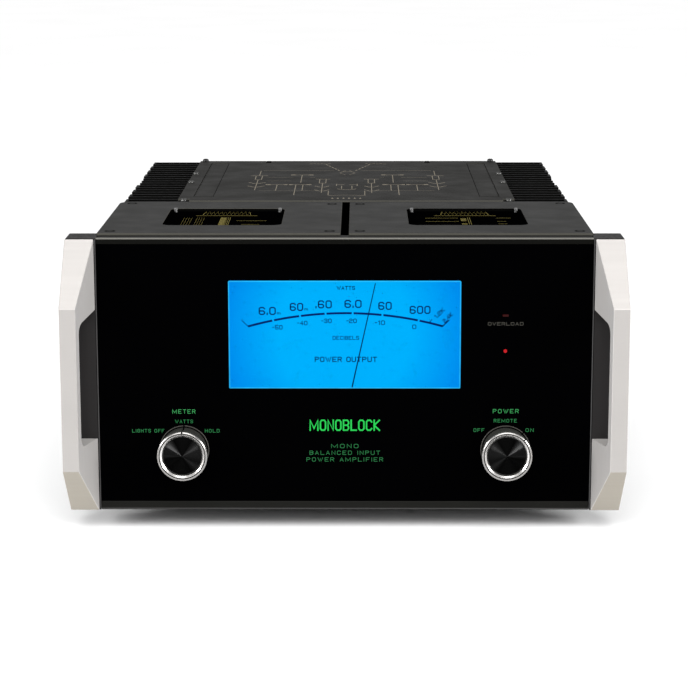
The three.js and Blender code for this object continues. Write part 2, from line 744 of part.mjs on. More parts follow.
function terminalNut() {
  const start = REAR_FACE + GAP + 5 + GAP;
  const ring = new THREE.Shape().absarc(0, 0, 8.5, 0, 2 * Math.PI);
  ring.holes.push(circle(0, 0, 4.4));
  return uprightPlate(ring, start, STUD_END - 5, 10);
}

// ---------------------------------------------------------------- assembly
add("front_glass", frontGlass(), finishes.glass);
add("meter_window", meterWindow(), finishes.clear);
add("top_trim", trim(GLASS_TOP + GAP, PANEL_TOP - 0.1), finishes.blackMetal);
add("bottom_trim", trim(PANEL_BOTTOM + GAP, GLASS_BOTTOM - GAP), finishes.blackMetal);
addPair("side_rail", sideRail(), finishes.blackMetal);
addPair("handle", handle(), finishes.silver);
add("front_subpanel", frontSubpanel(), finishes.steel);

add("meter_housing", meterHousing(), finishes.darkPlastic);
add("meter_dial", meterDial(), finishes.dial);
const needle = add("meter_needle", meterNeedle(), finishes.needle);
needle.position.z = PIVOT_Z;
needle.rotation.y = THREE.MathUtils.degToRad(NEEDLE_REST_DEG);
add("meter_movement", meterMovement(), finishes.darkPlastic);
add("meter_light_board", meterLightBoard(), finishes.board);

addSwitch("meter", -KNOB_X, 0);
addSwitch("power", KNOB_X, 45);
add(
  "overload_lamp",
  block(LAMP_X - 2.3, LAMP_X + 2.3, 0.2, 14, OVERLOAD_Z - 0.8, OVERLOAD_Z + 0.8),
  finishes.lamp,
);
add("standby_lamp", rod(1.4, LAMP_X, STANDBY_Z, 0.2, 14, 16), finishes.lamp);

add("chassis_tray", chassisTray(), finishes.steel);
add("chassis_deck", chassisDeck(), finishes.steel);
add("rear_panel", rearPanel(), finishes.blackMetal);
addFeet();

addPair("transformer_can", transformerCan(), finishes.blackMetal);
addPair("can_cover", canCover(), finishes.cover);
addPair("label_glass", labelGlass(), finishes.glass);
add("power_transformer", transformerCore(-101, 140, 132), finishes.core);
add("output_autoformer", transformerCore(101, 120, 116), finishes.core);

addPair("heatsink", heatSink(), finishes.anodised);
add("top_cover", topCover(), finishes.cover);

addPair("output_board", outputBoard(), finishes.board);
[-50, 50].forEach((x, column) =>
  [300, 400].forEach((y, row) => {
    const name = "capacitor_" + (1 + column * 2 + row);
    add(name, capacitor(), finishes.sleeve).position.set(x, y, UPPER_Z);
  }),
);
add("power_supply_board", powerSupplyBoard(), finishes.board);
add("input_board", inputBoard(), finishes.board);

add("mains_inlet", mainsInlet(), finishes.darkPlastic);
add("xlr_input", xlrInput(), finishes.chrome);
add("rca_input", rcaInput(), finishes.gold);
add("input_switch_body", inputSwitchBody(), finishes.steel);
add("input_switch_lever", inputSwitchLever(), finishes.chrome)
  .position.set(INPUT_SWITCH_X, LEVER_PIVOT_Y, SOCKET_Z);
add("terminal_block", terminalBlock(), finishes.darkPlastic);
TERMINAL_X.forEach((x, i) =>
  add("terminal_nut_" + (i + 1), terminalNut(), finishes.gold).position.set(x, 0, SOCKET_Z),
);

const middleY = (STUD_END - HANDLE_REACH) / 2;
amplifier.position.y = -middleY;

const part = new THREE.Group();
part.add(amplifier);
export default part;
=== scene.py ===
"""The looks of a full-width monoblock power amplifier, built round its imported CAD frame.

Unless a comment says otherwise, lengths are millimetres, with x to the right, y measured back
from the face of the front glass, and z up from the surface that the amplifier stands on.
"""
import json
import math

import bmesh
import bpy
from mathutils import Matrix, Vector


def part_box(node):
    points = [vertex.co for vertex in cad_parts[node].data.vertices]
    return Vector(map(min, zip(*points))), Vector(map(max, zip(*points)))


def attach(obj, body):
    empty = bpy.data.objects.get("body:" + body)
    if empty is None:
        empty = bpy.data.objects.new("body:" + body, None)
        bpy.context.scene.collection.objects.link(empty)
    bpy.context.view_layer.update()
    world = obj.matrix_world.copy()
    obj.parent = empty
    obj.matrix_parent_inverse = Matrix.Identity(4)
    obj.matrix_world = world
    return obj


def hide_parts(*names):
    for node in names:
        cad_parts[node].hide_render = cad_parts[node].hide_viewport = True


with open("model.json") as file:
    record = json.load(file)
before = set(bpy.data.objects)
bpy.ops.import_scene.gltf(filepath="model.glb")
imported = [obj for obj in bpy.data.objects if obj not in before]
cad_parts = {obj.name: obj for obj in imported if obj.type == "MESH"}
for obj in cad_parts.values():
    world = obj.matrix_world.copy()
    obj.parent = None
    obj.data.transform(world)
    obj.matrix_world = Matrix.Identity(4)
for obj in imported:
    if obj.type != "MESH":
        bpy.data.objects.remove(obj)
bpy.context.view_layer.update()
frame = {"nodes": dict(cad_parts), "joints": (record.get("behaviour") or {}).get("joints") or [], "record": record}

MM = 0.001
INK = 0.05  # thickness of printed lettering and lines

RECORD = frame["record"]
BODY_OF = {
    node: body
    for body, nodes in RECORD["behaviour"]["bodies"].items()
    for node in nodes
}
GLASS_FACE_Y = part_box("front_glass")[0][1]
TO_FRAME = Matrix.Translation((0, GLASS_FACE_Y, 0)) @ Matrix.Scale(MM, 4)

SIDES = {"left": -1, "right": 1}


def box_mm(node):
    """A node's lowest and highest corners."""
    return [
        Vector((x / MM, (y - GLASS_FACE_Y) / MM, z / MM)) for x, y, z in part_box(node)
    ]


def middle_mm(node):
    low, high = box_mm(node)
    return (low + high) / 2


def half_widths(node):
    """How far a node's inner and outer sides are from the amplifier's middle."""
    low, high = box_mm(node)
    return sorted((abs(low.x), abs(high.x)))


def turned(degrees, axis):
    return Matrix.Rotation(math.radians(degrees), 4, axis)


def add_object(name, data, matrix=Matrix()):
    """Puts a new object in the scene."""
    thing = bpy.data.objects.new(name, data)
    thing.matrix_world = matrix
    bpy.context.scene.collection.objects.link(thing)
    return thing


def to_mesh(bm, name):
    """Turns a bmesh into a mesh and frees it."""
    mesh = bpy.data.meshes.new(name)
    bm.to_mesh(mesh)
    bm.free()
    return mesh


# ---- camera, light and floor
# Places and sizes in this section are metres in the frame, and angles are degrees.
CAMERA_PLACE = (0.0124, GLASS_FACE_Y - 1.7418, 0.5086)
CAMERA_PITCH_DOWN = 11.466
CAMERA_YAW_LEFT = 0.425
CAMERA_ROLL = -0.068
CAMERA_LENS = 116.05  # millimetres
SENSOR_WIDTH = 36  # millimetres
WORLD_LIGHT = 0.45
KEY_LIGHT = 2.9  # watts per square metre
KEY_ELEVATION = 42
KEY_SPREAD = 55
SIDE_LIGHT = {"left": 32, "right": 33}  # watts
SOFTBOX_PLACE = (1.9, -1.2, 0.8)  # the right one
SOFTBOX_SIZE = (0.8, 0.5)
PANEL_MIDDLE = (0, GLASS_FACE_Y, 0.13)
FLOOR_REACH = 60
VIEW_REACH = 100


def add_camera():
    camera = bpy.data.cameras.new("camera")
    camera.lens = CAMERA_LENS
    camera.sensor_width = SENSOR_WIDTH
    camera.clip_end = VIEW_REACH
    place = Matrix.Translation(CAMERA_PLACE)
    aim = turned(CAMERA_YAW_LEFT, "Z") @ turned(90 - CAMERA_PITCH_DOWN, "X")
    roll = turned(CAMERA_ROLL, "Z")
    bpy.context.scene.camera = add_object("camera", camera, place @ aim @ roll)


def add_softbox(side, sign):
    """A rectangular area light that faces the front panel."""
    light = bpy.data.lights.new(side + "_softbox", "AREA")
    light.shape = "RECTANGLE"
    light.size, light.size_y = SOFTBOX_SIZE
    light.energy = SIDE_LIGHT[side]
    x, y, z = SOFTBOX_PLACE
    place = Vector((sign * x, y, z))
    facing = (Vector(PANEL_MIDDLE) - place).to_track_quat("-Z", "Y")
    add_object(light.name, light, Matrix.Translation(place) @ facing.to_matrix().to_4x4())


def add_studio():
    """Soft light from above and from both sides."""
    world = bpy.data.worlds.new("studio")
    world.use_nodes = True
    background = world.node_tree.nodes["Background"]
    background.inputs["Color"].default_value = (1, 1, 1, 1)
    background.inputs["Strength"].default_value = WORLD_LIGHT
    bpy.context.scene.world = world
    bpy.context.scene.view_settings.view_transform = "Standard"
    sun = bpy.data.lights.new("key", "SUN")
    sun.energy = KEY_LIGHT
    sun.angle = math.radians(KEY_SPREAD)
    add_object("key", sun, turned(90 - KEY_ELEVATION, "X"))
    for side, sign in SIDES.items():
        add_softbox(side, sign)


def add_floor():
    """A white floor that runs to the horizon."""
    bm = bmesh.new()
    bmesh.ops.create_grid(bm, x_segments=1, y_segments=1, size=FLOOR_REACH)
    mesh = to_mesh(bm, "floor")
    white = Surface("floor_white", (0.95, 0.95, 0.95), 0.9, Specular_IOR_Level=0.1)
    white.mottle(white.noise(3), 0.01)
    mesh.materials.append(white.material)
    floor = add_object("floor", mesh)


# ---- materials
MATERIALS = {}


class Surface:
    """A node material built round one Principled shader, kept in MATERIALS under its name."""

    def __init__(self, name, color, roughness, **sockets):
        self.material = bpy.data.materials.new(name)
        MATERIALS[name] = self.material
        self.material.use_nodes = True
        self.nodes = self.material.node_tree.nodes
        self.links = self.material.node_tree.links
        self.shader = self.nodes["Principled BSDF"]
        self.color = color
        self.roughness = roughness
        self.set(self.shader, Base_Color=(*color, 1), Roughness=roughness, **sockets)

    def set(self, node, **sockets):
        """Sets a node's inputs; an underscore stands for a space in an input's name."""
        for socket, value in sockets.items():
            node.inputs[socket.replace("_", " ")].default_value = value

    def add(self, kind, **sockets):
        node = self.nodes.new("ShaderNode" + kind)
        self.set(node, **sockets)
        return node

    def wire(self, output, node, socket):
        self.links.new(output, node.inputs[socket])

    def texture(self, kind, **mapping):
        """A texture node placed in the object's own coordinates."""
        coords = self.add("TexCoord")
        placed = self.add("Mapping", **mapping)
        texture = self.add("Tex" + kind)
        self.wire(coords.outputs["Object"], placed, "Vector")
        self.wire(placed.outputs["Vector"], texture, "Vector")
        return texture

    def noise(self, scale, stretch=(1, 1, 1), detail=3):
        """Noise with this many features to the metre."""
        noise = self.texture("Noise", Scale=stretch)
        self.set(noise, Scale=scale, Detail=detail)
        return noise.outputs["Fac"]

    def ramp(self, factor, low_color, high_color, low=0.35, high=0.65):
        ramp = self.add("ValToRGB")
        stops = zip(ramp.color_ramp.elements, (low, high), (low_color, high_color))
        for stop, position, color in stops:
            stop.position = position
            stop.color = (*color, 1)
        self.wire(factor, ramp, "Fac")
        return ramp.outputs["Color"]

    def mottle(self, factor, amount):
        """Varies the base colour by a fraction either way."""
        dark = [c * (1 - amount) for c in self.color]
        light = [min(1, c * (1 + amount)) for c in self.color]
        self.wire(self.ramp(factor, dark, light), self.shader, "Base Color")

    def vary_roughness(self, factor, amount):
        """Varies the roughness by this much either way."""
        smooth = max(0.02, self.roughness - amount)
        rough = min(1, self.roughness + amount)
        spread = self.add("MapRange", From_Min=0.3, From_Max=0.7, To_Min=smooth, To_Max=rough)
        self.wire(factor, spread, "Value")
        self.wire(spread.outputs["Result"], self.shader, "Roughness")

    def bump(self, factor, height_mm, strength=1.0):
        bump = self.add("Bump", Strength=strength, Distance=height_mm * MM)
        self.wire(factor, bump, "Height")
        self.wire(bump.outputs["Normal"], self.shader, "Normal")


def powder_coat(name, color, roughness, gloss=0.05):
    """Paint with a fine orange-peel grain and faint handling marks."""
    surface = Surface(name, color, roughness, Specular_IOR_Level=gloss)
    surface.mottle(surface.noise(300, detail=4), 0.03)
    surface.vary_roughness(surface.noise(40), 0.06)
    surface.bump(surface.noise(2600, detail=2), 0.012, 0.6)


def anodised(name, color, roughness, brush=(1, 1, 1)):
    """Dyed aluminium; brush stretches the grain along one axis."""
    surface = Surface(name, color, roughness, Metallic=0.3, Specular_IOR_Level=0.05)
    surface.mottle(surface.noise(60, brush, 4), 0.12)
    surface.vary_roughness(surface.noise(350, brush), 0.07)
    surface.bump(surface.noise(1500, brush), 0.004, 0.5)


def machined(name, color, roughness, brush=(1, 1, 1), streak=0.03, metallic=1.0):
    """Bare or clear-coated metal with a directional grain; less metallic where it is blasted."""
    surface = Surface(name, color, roughness, Metallic=metallic)
    surface.mottle(surface.noise(25, brush, 5), streak)
    surface.vary_roughness(surface.noise(500, brush, 4), 0.05)
    surface.bump(surface.noise(2200, brush, 3), 0.003, 0.4)


def moulded(name, color, roughness, grain=0.01):
    """Injection-moulded plastic or rubber with a spark-eroded grain."""
    surface = Surface(name, color, roughness, Specular_IOR_Level=0.4)
    surface.mottle(surface.noise(30, detail=4), 0.08)
    surface.vary_roughness(surface.noise(180), 0.05)
    surface.bump(surface.noise(1800, detail=2), grain, 0.6)


def ink(name, color, roughness=0.55):
    """Screen-printed ink, slightly uneven."""
    surface = Surface(name, color, roughness, Specular_IOR_Level=0.02)
    surface.mottle(surface.noise(400), 0.08)


def lit_ink(name, color):
    """A clear area in black paint with a lamp behind it, slightly uneven."""
    surface = Surface(name, (0, 0, 0), 0.5, Specular_IOR_Level=0.1, Emission_Strength=1.0)
    dimmer = [c * 0.8 for c in color]
    glow = surface.ramp(surface.noise(120), dimmer, color)
    surface.wire(glow, surface.shader, "Emission Color")


def black_glass(name):
    """Glass painted black on its back, with the faintest film of dust."""
    surface = Surface(name, (0.0003, 0.0003, 0.0004), 0.05, Specular_IOR_Level=0.0)
    surface.vary_roughness(surface.noise(18, detail=5), 0.02)


def meter_lens():
    color = (0, 0.03, 0.08)
    surface = Surface("meter_lens", color, 0.03, Alpha=0.03, Specular_IOR_Level=0.02)
    surface.vary_roughness(surface.noise(20), 0.01)


def dial_blue():
    """A translucent dial with lamps behind it: brightest in the middle, dimmer at the ends."""
    surface = Surface("dial_blue", (0, 0.01, 0.02), 0.6, Specular_IOR_Level=0.0)
    surface.set(surface.shader, Emission_Strength=1.0)
    low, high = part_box("meter_dial")
    centre_x = (low[0] + high[0]) / 2
    centre_z = middle_mm("meter_window").z * MM
    reach = (high[0] - low[0]) / 2
    flatten = 0.9
    gradient = surface.texture(
        "Gradient",
        Scale=(1 / reach, 0, flatten / reach),
        Location=(-centre_x / reach, 0, -flatten * centre_z / reach),
    )
    gradient.gradient_type = "SPHERICAL"
    ends, middle = (0.0, 0.27, 0.88), (0.0, 0.44, 1.0)
    glow = surface.ramp(gradient.outputs["Fac"], ends, middle, 0.0, 0.45)
    surface.wire(glow, surface.shader, "Emission Color")
    surface.bump(surface.noise(900), 0.01, 0.3)


SPUN_MAP = "spun"
# Painted sheen: fans of highlight painted into a spun disc's base colour, as degrees anticlockwise from the right,
# and brightness.
PAINTED_SHEEN_FANS = (
    (0, 0.010), (22, 0.012), (35, 0.026), (50, 0.012), (58, 0.002), (118, 0.002),
    (128, 0.018), (143, 0.045), (147, 0.055), (151, 0.010), (176, 0.007), (179, 0.014),
    (183, 0.006), (192, 0.002), (300, 0.002), (322, 0.010), (338, 0.005),
)


def spun_black_painted_sheen():
    """Black anodised metal turned on a lathe: its fine rings shown by gloss stretched round the axis, and painted
    sheen, fans of highlight painted into the base colour by angle.
    """
    grey = (0.005, 0.005, 0.005)
    surface = Surface("spun_black_painted_sheen", grey, 0.45, Metallic=1.0, Anisotropic=1.0)
    surface.set(surface.shader, Anisotropic_Rotation=0.25)
    spun_map = surface.add("UVMap")
    spun_map.uv_map = SPUN_MAP
    parts = surface.add("SeparateXYZ")
    turns = surface.add("Math")
    turns.operation = "DIVIDE"
    turns.inputs[1].default_value = 2 * math.pi
    wrapped = surface.add("Math")
    wrapped.operation = "FRACT"
    surface.wire(spun_map.outputs["UV"], parts, "Vector")
    surface.wire(parts.outputs["X"], turns, 0)
    surface.wire(turns.outputs["Value"], wrapped, 0)
    # Painted highlight: the base colour brightens in fans by the angle round the axis.
    first = [PAINTED_SHEEN_FANS[0][1]] * 3
    sheen = surface.ramp(wrapped.outputs["Value"], first, first, 0, 1)
    stops = sheen.node.color_ramp.elements
    for degrees, brightness in PAINTED_SHEEN_FANS[1:]:
        stops.new(degrees / 360).color = (brightness, brightness, brightness, 1)
    surface.wire(sheen, surface.shader, "Base Color")
    tangent = surface.add("Tangent")
    tangent.direction_type = "UV_MAP"
    tangent.uv_map = SPUN_MAP
    surface.wire(tangent.outputs["Tangent"], surface.shader, "Tangent")


def board_green():
    surface = Surface("board_green", (0.012, 0.11, 0.045), 0.45)
    surface.mottle(surface.noise(90, detail=5), 0.35)
    surface.bump(surface.noise(500), 0.02, 0.5)


def core_laminations():
    surface = Surface("core_laminations", (0.09, 0.08, 0.075), 0.5, Metallic=0.6)
    across_sheets = (0.02, 1, 0.02)
    surface.mottle(surface.noise(900, across_sheets, 1), 0.4)
    surface.bump(surface.noise(900, across_sheets, 1), 0.1)


BRUSH_X = (0.02, 1, 1)
BRUSH_Y = (1, 0.02, 1)
BRUSH_Z = (1, 1, 0.02)


def make_metals():
    # The handle's metal, then a lit and a shaded copy of it: painted light and painted shade.
    machined("handle_aluminium", (0.348, 0.332, 0.32), 0.42, BRUSH_X, 0.015, 0.5)
    machined("handle_painted_light", (0.52, 0.5, 0.485), 0.45, BRUSH_Z, 0.015, 0.4)
    machined("handle_painted_shade", (0.32, 0.293, 0.25), 0.45, BRUSH_X, 0.015, 0.4)
    # The next two are paler copies of the black trims, laid on edges as painted highlights.
    machined("trim_edge_highlight", (0.115, 0.112, 0.1), 0.45, BRUSH_X, 0.05, 0.3)
    machined("rail_edge_highlight", (0.034, 0.033, 0.033), 0.45, BRUSH_Z, 0.05, 0.3)
    machined("satin_steel", (0.56, 0.56, 0.57), 0.34, BRUSH_Y, 0.05)
    machined("dark_steel", (0.11, 0.11, 0.112), 0.4, BRUSH_Y, 0.05, 0.6)
    machined("polished_chrome", (0.88, 0.88, 0.89), 0.08, streak=0.01)
    machined("diamond_cut_edge", (0.8, 0.78, 0.76), 0.24, streak=0.01)
    machined("ring_edge", (0.34, 0.33, 0.32), 0.26, streak=0.01)
    machined("collar_rim_highlight", (0.05, 0.047, 0.042), 0.4, metallic=0.3)
    machined("screw_black", (0.03, 0.03, 0.03), 0.3)
    machined("screw_bright", (0.62, 0.62, 0.62), 0.25)
    machined("screw_grey", (0.06, 0.06, 0.058), 0.28, metallic=0.7)
    machined("stud_grey", (0.35, 0.35, 0.35), 0.35)
    machined("gold_plate", (0.83, 0.58, 0.25), 0.22)
    anodised("rail_black", (0.016, 0.015, 0.015), 0.42, BRUSH_Z)
    anodised("trim_black", (0.0022, 0.0022, 0.0017), 0.45, BRUSH_X)
    anodised("bottom_trim_black", (0.0075, 0.0075, 0.0066), 0.45, BRUSH_X)
    anodised("sink_black", (0.0015, 0.0015, 0.0014), 0.5, BRUSH_Z)
    spun_black_painted_sheen()
    core_laminations()


def make_coatings():
    powder_coat("cover_black", (0.0262, 0.0262, 0.0257), 0.5)
    # Lit and shaded copies of the cover paint: painted light on bends and front faces, painted shade on the label
    # windows' walls.
    powder_coat("cover_edge_light", (0.06, 0.058, 0.05), 0.5)
    powder_coat("cover_rim_shade", (0.0015, 0.0015, 0.0014), 0.6, 0.0)
    powder_coat("top_cover_black", (0.0143, 0.014, 0.013), 0.5)
    powder_coat("can_black", (0.016, 0.016, 0.016), 0.5)
    powder_coat("rear_black", (0.014, 0.014, 0.014), 0.5)
    # Deep black: the real colour of the knob collars and cover clips, and also laid down as painted shade in screw
    # dimples, pointer slots, round the cover pockets and in the gap beside each handle.
    powder_coat("black_and_painted_shade", (0.0015, 0.0015, 0.0015), 0.6, 0.0)
    moulded("knob_grip", (0.03, 0.03, 0.027), 0.5)
    moulded("black_plastic", (0.014, 0.014, 0.014), 0.42)
    moulded("foot_rubber", (0.013, 0.013, 0.013), 0.8, 0.03)
    moulded("capacitor_sleeve", (0.012, 0.02, 0.05), 0.35, 0.004)
    board_green()


def make_glass_and_inks():
    black_glass("panel_glass")
    black_glass("label_glass_black")
    meter_lens()
    dial_blue()
    ink("dial_ink", (0.0, 0.004, 0.07))
    ink("needle_navy", (0.0, 0.002, 0.045), 0.5)
    ink("tan_ink", (0.045, 0.043, 0.037))
    ink("beige_ink", (0.21, 0.185, 0.145))
    ink("pale_ink", (0.6, 0.6, 0.58))
    ink("gold_ink", (0.2, 0.165, 0.045))
    lit_ink("heading_green", (0.06, 0.46, 0.13))
    lit_ink("label_green", (0.028, 0.25, 0.075))
    lit_ink("name_green", (0.02, 0.72, 0.1))
    lit_ink("lamp_dim", (0.04, 0.0, 0.0))
    lit_ink("lamp_lit", (0.62, 0.008, 0.014))
    # A painted highlight that glows, for the lighter edge of the meter's glass.
    lit_ink("window_edge_glow", (0.012, 0.52, 1.0))


# ---- mesh helpers
SMOOTH_UNDER = 30  # degrees; an edge that bends more than this is shaded sharp, or bevelled


def show(name, mesh, material, node, stands_for=()):
    """Shows a finished mesh, which rides with the CAD node named and takes the material named."""
    if not mesh.materials:
        mesh.materials.append(MATERIALS[material])
    mesh.shade_smooth()
    mesh.set_sharp_from_angle(angle=math.radians(SMOOTH_UNDER))
    piece = add_object(name, mesh)
    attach(piece, BODY_OF[node])
    if stands_for:
        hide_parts(*stands_for)
    return piece


def make_piece(name, bm, material, node, stands_for=()):
    """Turns a bmesh in millimetres into a piece of the amplifier."""
    bm.transform(TO_FRAME)
    bmesh.ops.recalc_face_normals(bm, faces=bm.faces)
    return show(name, to_mesh(bm, name), material, node, stands_for)


def soften(piece, width, segments):
    """Bevels a piece's edges when it is drawn."""
    edges = piece.modifiers.new("edges", "BEVEL")
    edges.width = width * MM
    edges.segments = segments
    edges.limit_method = "ANGLE"
    edges.angle_limit = math.radians(SMOOTH_UNDER)
    edges.harden_normals = True
    return edges


def refine(node, material, bevel, segments=2):
    """Replaces a CAD node by a copy with softened edges."""
    bm = bmesh.new()
    bm.from_mesh(frame["nodes"][node].data)
    bmesh.ops.remove_doubles(bm, verts=bm.verts, dist=1e-6)
    flat = math.radians(0.5)
    bmesh.ops.dissolve_limit(bm, angle_limit=flat, verts=bm.verts, edges=bm.edges)
    mesh = to_mesh(bm, node + "_fine")
    mesh.materials.clear()
    piece = show(node + "_fine", mesh, material, node, [node])
    soften(piece, bevel, segments)
    return piece


def dress(node, material):
    """Gives a CAD node that keeps its shape its finish."""
    for slot in frame["nodes"][node].material_slots:
        slot.material = MATERIALS[material]


def add_copy(bm, part, matrix=Matrix()):
    """Adds one bmesh to another, moved by a matrix."""
    mesh = bpy.data.meshes.new("copy")
    part.to_mesh(mesh)
    mesh.transform(matrix)
    bm.from_mesh(mesh)
    bpy.data.meshes.remove(mesh)


def block(low, high, bevel=0.0):
    """A box between two corners."""
    bm = bmesh.new()
    bmesh.ops.create_cube(bm, size=1)
    low, high = Vector(low), Vector(high)
    bmesh.ops.scale(bm, vec=high - low, verts=bm.verts)
    bmesh.ops.translate(bm, vec=(low + high) / 2, verts=bm.verts)
    if bevel:
        round_edges(bm, bm.edges[:], bevel, 2)
    return bm


def round_edges(bm, edges, radius, segments):
    bmesh.ops.bevel(
        bm, geom=edges, offset=radius, segments=segments, profile=0.5, affect="EDGES"
    )


def hexagon(radius, angle):
    """The reach of a hexagon of this half width across flats, at an angle."""
    step = math.radians(60)
    return radius / math.cos((angle + step / 2) % step - step / 2)


def close_prism(bm, first, last):
    """Joins two matching outlines and caps both ends."""
    bm.faces.new(first)
    bm.faces.new(last)
    for i, corner in enumerate(first):
        j = (i + 1) % len(first)
        bm.faces.new((corner, first[j], last[j], last[i]))


def lathe(profile, segments=64, reach=None):
    """A solid about +Z from (radius, height) points. A profile that starts off the axis is
    closed on itself. reach(index, radius, angle) may reshape a ring."""
    bm = bmesh.new()
    rings = []
    for index, (radius, height) in enumerate(profile):
        if radius == 0:
            rings.append([bm.verts.new((0, 0, height))])
            continue
        ring = []
        for step in range(segments):
            angle = 2 * math.pi * step / segments
            r = reach(index, radius, angle) if reach else radius
            ring.append(bm.verts.new((r * math.cos(angle), r * math.sin(angle), height)))
        rings.append(ring)
    if profile[0][0] > 0:
        rings.append(rings[0])
    for lower, upper in zip(rings, rings[1:]):
        for i in range(segments):
            j = (i + 1) % segments
            corners = [lower[i % len(lower)], lower[j % len(lower)]]
            corners += [upper[j % len(upper)], upper[i % len(upper)]]
            bm.faces.new(dict.fromkeys(corners))  # a point on the axis counts once
    return bm


def carve(bm, cutter):
    """Cuts one bmesh away from another, in place, and frees the cutter."""
    for shape in (bm, cutter):
        bmesh.ops.recalc_face_normals(shape, faces=shape.faces)
    mesh = bpy.data.meshes.new("target")
    bm.to_mesh(mesh)
    target = add_object("target", mesh)
    tool = add_object("tool", to_mesh(cutter, "tool"))
    cut = target.modifiers.new("cut", "BOOLEAN")
    cut.object = tool
    cut.solver = "EXACT"
    bpy.context.view_layer.update()
    graph = bpy.context.evaluated_depsgraph_get()
    result = bpy.data.meshes.new_from_object(target.evaluated_get(graph))
    for holder in (target, tool):
        spent = holder.data
        bpy.data.objects.remove(holder)
        bpy.data.meshes.remove(spent)
    bm.clear()
    bm.from_mesh(result)
    bpy.data.meshes.remove(result)
    return bm


# ---- printing
FACING_FRONT = turned(90, "X")
FACING_BACK = turned(180, "Z") @ FACING_FRONT
HAIR = 0.02  # keeps the back of a print off the plane of the face that carries it

# Drawn letters, six units high and at most six wide. Each point is two digits, across and
# up, and a slash lifts the pen.
GLYPHS = {
    "A": "00 26 40 / 12 32",
    "B": "33 03 06 36 45 44 33 42 41 30 00 03",
    "C": "45 36 16 05 01 10 30 41",
    "D": "00 06 36 45 41 30 00",
    "E": "40 00 06 46 / 03 33",
    "F": "00 06 46 / 03 33",
    "G": "45 36 16 05 01 10 30 41 43 23",
    "H": "00 06 / 40 46 / 03 43",
    "I": "00 06",
    "K": "00 06 / 46 03 40",
    "L": "06 00 40",
    "M": "00 06 31 66 60",
    "N": "00 06 40 46",
    "O": "01 05 16 36 45 41 30 10 01",
    "P": "00 06 36 45 44 33 03",
    "R": "00 06 36 45 44 33 03 / 23 40",
    "S": "01 10 30 41 42 33 13 04 05 16 36 45",
    "T": "06 46 / 26 20",
    "U": "06 01 10 30 41 46",
    "V": "06 20 46",
    "W": "06 20 35 40 66",
    "m": "00 04 / 03 14 23 20 / 23 34 43 40",
    "0": "01 05 16 36 45 41 30 10 01",
    "1": "05 16 10",
    "2": "05 16 36 45 44 33 13 02 00 40",
    "3": "05 16 36 45 44 33 13 / 33 42 41 30 10 01",
    "4": "30 36 02 42",
    "5": "46 06 03 33 42 41 30 10 01",
    "6": "45 36 16 05 01 10 30 41 42 33 03",
    "8": "13 04 05 16 36 45 44 33 13 02 01 10 30 41 42 33",
    "-": "03 23",
    ".": "00 01",
    " ": "",
}
LETTER_HEIGHT = 6
SPACE_WIDTH = 2


def glyph_strokes(letter):
    strokes = GLYPHS[letter].split("/")
    return [[Vector((int(p[0]), int(p[1]))) for p in stroke.split()] for stroke in strokes]


def lettering(words, gap):
    """The strokes of a line of words, starting at x = 0, and the line's width."""
    placed = []
    start = 0
    for letter in words:
        strokes = [stroke for stroke in glyph_strokes(letter) if stroke]
        for stroke in strokes:
            placed.append([point + Vector((start, 0)) for point in stroke])
        width = max((point.x for stroke in strokes for point in stroke), default=SPACE_WIDTH)
        start += width + gap
    return placed, start - gap


